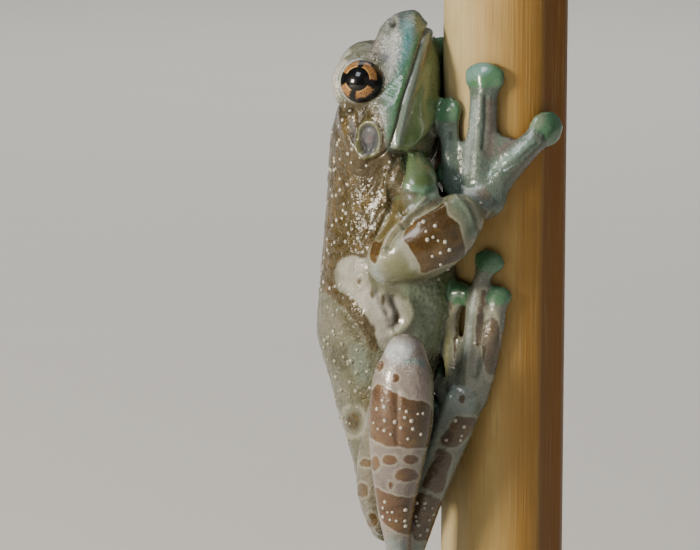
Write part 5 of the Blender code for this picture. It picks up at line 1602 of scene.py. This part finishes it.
def steel_material():
    """Brushed steel."""
    paint = Paint("brushed_steel", Metallic=1.0, Base_Color=pigment("b9b9b6"))
    brushed = paint.noise(paint.place((0.3, 0.3, 9.0)), 1.5, 2.0)
    return paint.finish(roughness=0.24 + brushed * 0.2, normal=paint.bump(brushed, 0.02))


for node, material in (("stand_base", wood_material()), ("stand_rod", steel_material())):
    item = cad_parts[node]
    for place in range(max(1, len(item.material_slots))):
        if item.material_slots:
            item.material_slots[place].material = material
        else:
            item.data.materials.append(material)
print("stand finished in walnut and steel")

# %% [markdown]
# Small white warts stand on the skin like grains of salt. They could be drawn as dots, but the
# real ones catch the light, so each is a low dome on the skin. Those that the picture shows are
# dropped on the skin along the line of sight. The others are strewn on the back by a seeded draw.

# %% Where the white warts are, as u, v in the picture
WARTS = (
    (412.5, 223.8), (423.7, 221.7), (435.3, 225.8), (426.2, 231.3), (433.3, 237.2), (427.5, 239.7),
    (438.3, 240.8), (445.3, 242), (449.7, 250), (440.7, 253), (432.5, 256.3), (440.8, 264.7),
    (438.7, 279.2), (448, 269.2), (481, 203), (382.4, 400.4), (384.4, 407), (377, 409), (384.6, 420.6),
    (395, 422), (373.6, 423), (378, 429), (384.4, 430.6), (390.6, 434.4), (400, 409), (406.6, 411.6),
    (405, 417.6), (411.6, 421), (401, 428), (413, 429), (421, 434.4), (408, 439), (418, 414), (423, 413.6),
    (385, 502), (392.4, 512.4), (383, 508), (387.6, 512.4), (383, 517), (390, 520), (396.4, 521),
    (405.6, 510), (405, 521), (405.6, 526), (455.4, 420.6), (464, 427), (461.6, 436), (460.4, 440.4),
    (446, 440), (424.6, 503), (424.4, 508), (417, 503), (432.4, 508), (433.6, 514.4), (415.6, 516.4),
    (416.6, 521), (418, 525), (429, 520), (435.4, 523.4), (427, 530), (420, 535), (475, 343),
    (337.5, 144.7), (334.2, 158.3), (340, 159.2), (366.7, 165.8), (370, 180.8), (340, 179), (346.7, 184.2),
    (393.3, 179.2), (389.7, 162.2), (383, 190.5), (372.5, 193.3), (360.8, 195.3), (332.5, 195.8),
    (354.2, 203.8), (372.5, 199.7), (367.5, 211.7), (346.2, 213.3), (356.7, 213.8), (359.2, 218.3),
    (342, 218.3), (336.7, 220.3), (332.5, 225.3), (357, 226.7), (358.3, 238.3), (334.2, 170), (342.5, 120),
    (354.4, 120.6), (338.8, 126), (348.8, 127), (337, 145), (348, 153.8), (350, 110.6), (328, 307),
    (333.4, 315), (333.4, 331.4), (342.4, 332.4), (342, 344), (357, 350), (343.6, 357), (351, 361),
    (356.4, 372.4), (328.4, 344), (334.6, 361), (336, 377), (350, 382), (341, 390), (356, 391),
    (367, 371.6), (370, 388), (325, 340),
)
WART_RADIUS = 0.28
WART_SIDES = 7
LOW_BACK = (-12.5, 74.0)         # behind this x and below this height the warts are larger and greyer
LOW_BACK_SIZE, LOW_BACK_GREY = 1.35, 0.7
MATCH_REACH = 3.0                # a wart of the left side lies at most this many pixels from its twin
STREWN_WARTS, STREWN_LOW, STREWN_HIGH = 150, 45.0, 96.0

# %% Drop the warts on the skin
finished = points_of(skin)
finished_normals = normals_of(skin)
polygons = [tuple(face.vertices) for face in skin.data.polygons]
tree = BVHTree.FromPolygons([Vector(p) for p in finished], polygons)
EYE_POINT = TARGET + VIEW_BACK * DISTANCE


def dropped(u, v):
    """Where the line of sight through a pixel first meets the skin, with the normal there."""
    view_right = np.array((1.0, 0.0, 0.0))
    aim = (TARGET + view_right * (u - PHOTO_WIDTH / 2) * PIXEL - VIEW_UP * (v - PHOTO_HEIGHT / 2) * PIXEL)
    place, normal = tree.ray_cast(Vector(EYE_POINT), Vector(aim - EYE_POINT).normalized())[:2]
    return (np.array(place), np.array(normal)) if place is not None else None


def on_low_back(points):
    """True for points behind and below the small of the back."""
    return (points[:, 0] < LOW_BACK[0]) & (points[:, 2] < LOW_BACK[1])


hits = [dropped(u, v) for u, v in WARTS]
hits = [hit for hit in hits if hit is not None]
wart_spots = np.array([hit[0] for hit in hits])
wart_normals = np.array([hit[1] for hit in hits])
random = np.random.default_rng(7)
wart_sizes = WART_RADIUS * random.uniform(0.75, 1.25, len(hits))
wart_sizes *= np.where(on_low_back(wart_spots), LOW_BACK_SIZE, 1.0)
print("warts from the picture", len(hits), "of", len(WARTS))

# %% The same warts on the left side, and a draw of more on the back
mirrored = as_right(finished, parts, shifts)
mirrored_uv = seen_at(mirrored)
left_points = np.flatnonzero((finished[:, 1] > 1.0) & (facing > 0.2))
chosen = []
for u, v in WARTS:
    gap = np.hypot(mirrored_uv[left_points, 0] - u, mirrored_uv[left_points, 1] - v)
    if len(gap) and gap.min() < MATCH_REACH:
        chosen.append(left_points[gap.argmin()])
between = (finished[:, 2] > STREWN_LOW) & (finished[:, 2] < STREWN_HIGH)
back = np.flatnonzero(on_body & (finished_normals[:, 0] < -0.55) & between)
strewn = random.choice(back, STREWN_WARTS, replace=False)
more = np.concatenate((np.array(chosen, dtype=int), strewn))
wart_spots = np.vstack((wart_spots, finished[more]))
wart_normals = np.vstack((wart_normals, finished_normals[more]))
wart_sizes = np.concatenate((wart_sizes, WART_RADIUS * random.uniform(0.6, 1.2, len(more))))


def domes(spots, ups, sizes):
    """Spot + size * (sin(a) * (cos(b) * p + sin(b) * q) + 0.7 * cos(a) * up), a from 0 to past 90."""
    helper = np.where(np.abs(ups[:, 2:3]) < 0.9, (0.0, 0.0, 1.0), (1.0, 0.0, 0.0))
    p = unit(np.cross(helper, ups))
    q = np.cross(ups, p)
    a = np.radians((0.0, 45.0, 85.0, 130.0))
    b = np.linspace(0.0, 2.0 * math.pi, WART_SIDES, endpoint=False)
    a, b = a[:, None, None, None], b[None, :, None, None]
    ring = np.sin(a) * (np.cos(b) * p + np.sin(b) * q) + 0.7 * np.cos(a) * ups
    grid = spots + ring * sizes[:, None]
    grid = np.concatenate((grid, grid[-1:]))
    count = len(spots)
    body = grid[1:-1].reshape(-1, count, 3)
    every = np.concatenate((body, grid[:1].mean(axis=1), grid[-1:].mean(axis=1)))
    quads, ends = closed_grid(grid[:, :, 0])[1:]
    first = np.arange(count)[:, None, None] * len(every)
    quads, ends = (quads + first).reshape(-1, 4), (ends + first).reshape(-1, 3)
    return every.transpose(1, 0, 2).reshape(-1, 3), quads, ends


vertices, quads, ends = domes(wart_spots, wart_normals, wart_sizes)
warts = mesh_object("white_warts", vertices, quads, ends)
warts.data.shade_smooth()
point_value(warts, "low_back", on_low_back(vertices).astype(float))
paint = Paint("white_wart", Coat_Weight=0.6, Coat_Roughness=0.15)
speckle = paint.noise(paint.place(), 6.0, 2.0)
white = paint.mix(paint.value("low_back") * LOW_BACK_GREY, pigment("efe9d8"), pigment("96977f"))
warts.data.materials.append(paint.finish(base_color=white, roughness=0.35 + speckle * 0.2,
                                         normal=paint.bump(speckle, 0.04)))
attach(warts, "root")
print("warts", len(wart_sizes), "faces", len(warts.data.polygons))

# %% [markdown]
# A plain pale floor and soft light show the model without drawing attention to themselves. The
# main light comes from the left, where its reflection makes the wet skin glint. A second one hangs
# overhead, and two wide weak ones lighten the shadows and the floor behind.

# %% Floor, lights and sky
FLOOR_REACH = 4.0


def floor():
    """A level square sheet whose far edge lies outside the picture."""
    corners = np.array([(x, y, 0.0) for x, y in ((-1, -1), (1, -1), (1, 1), (-1, 1))]) * FLOOR_REACH
    item = mesh_object("floor", corners, np.array([[0, 1, 2, 3]]), scale=1.0)
    paint = Paint("pale_floor", Roughness=0.8)
    cloud = paint.noise(paint.place(), 0.02, 3.0)
    colour = paint.mix(cloud * 0.3, linear("e6e2da"), linear("ddd8cf"))
    item.data.materials.append(paint.finish(base_color=colour))
    return item


def soft_light(name, place, size, power, code):
    """A square lamp at a place in millimetres, turned to the frog."""
    data = bpy.data.lights.new(name, "AREA")
    data.shape = "SQUARE"
    data.size = size
    data.energy = power
    data.color = linear(code)
    lamp = bpy.data.objects.new(name, data)
    bpy.context.scene.collection.objects.link(lamp)
    lamp.location = Vector(place) * MM
    lamp.rotation_mode = "QUATERNION"
    lamp.rotation_quaternion = (Vector(TARGET * MM) - lamp.location).to_track_quat("-Z", "Y")
    return lamp


floor()
soft_light("window", (-640.0, -445.0, 262.0), 0.17, 9.6, "fff4e2")
soft_light("overhead", (-330.0, -480.0, 760.0), 0.3, 3.2, "f4f8ff")
soft_light("fill", (900.0, -1300.0, 500.0), 1.4, 2.0, "fffaf0")
behind = soft_light("behind", (0.0, 1100.0, 1500.0), 1.5, 6.0, "ffffff")
behind.rotation_quaternion = Vector((0.0, 0.0, -1.0)).to_track_quat("-Z", "Y")
behind.data.spread = math.radians(75.0)
world = bpy.data.worlds.new("pale_sky")
bpy.context.scene.world = world
world.use_nodes = True
sky = next(node for node in world.node_tree.nodes if node.type == "BACKGROUND")
sky.inputs["Color"].default_value = (0.86, 0.88, 0.9, 1.0)
sky.inputs["Strength"].default_value = 0.14
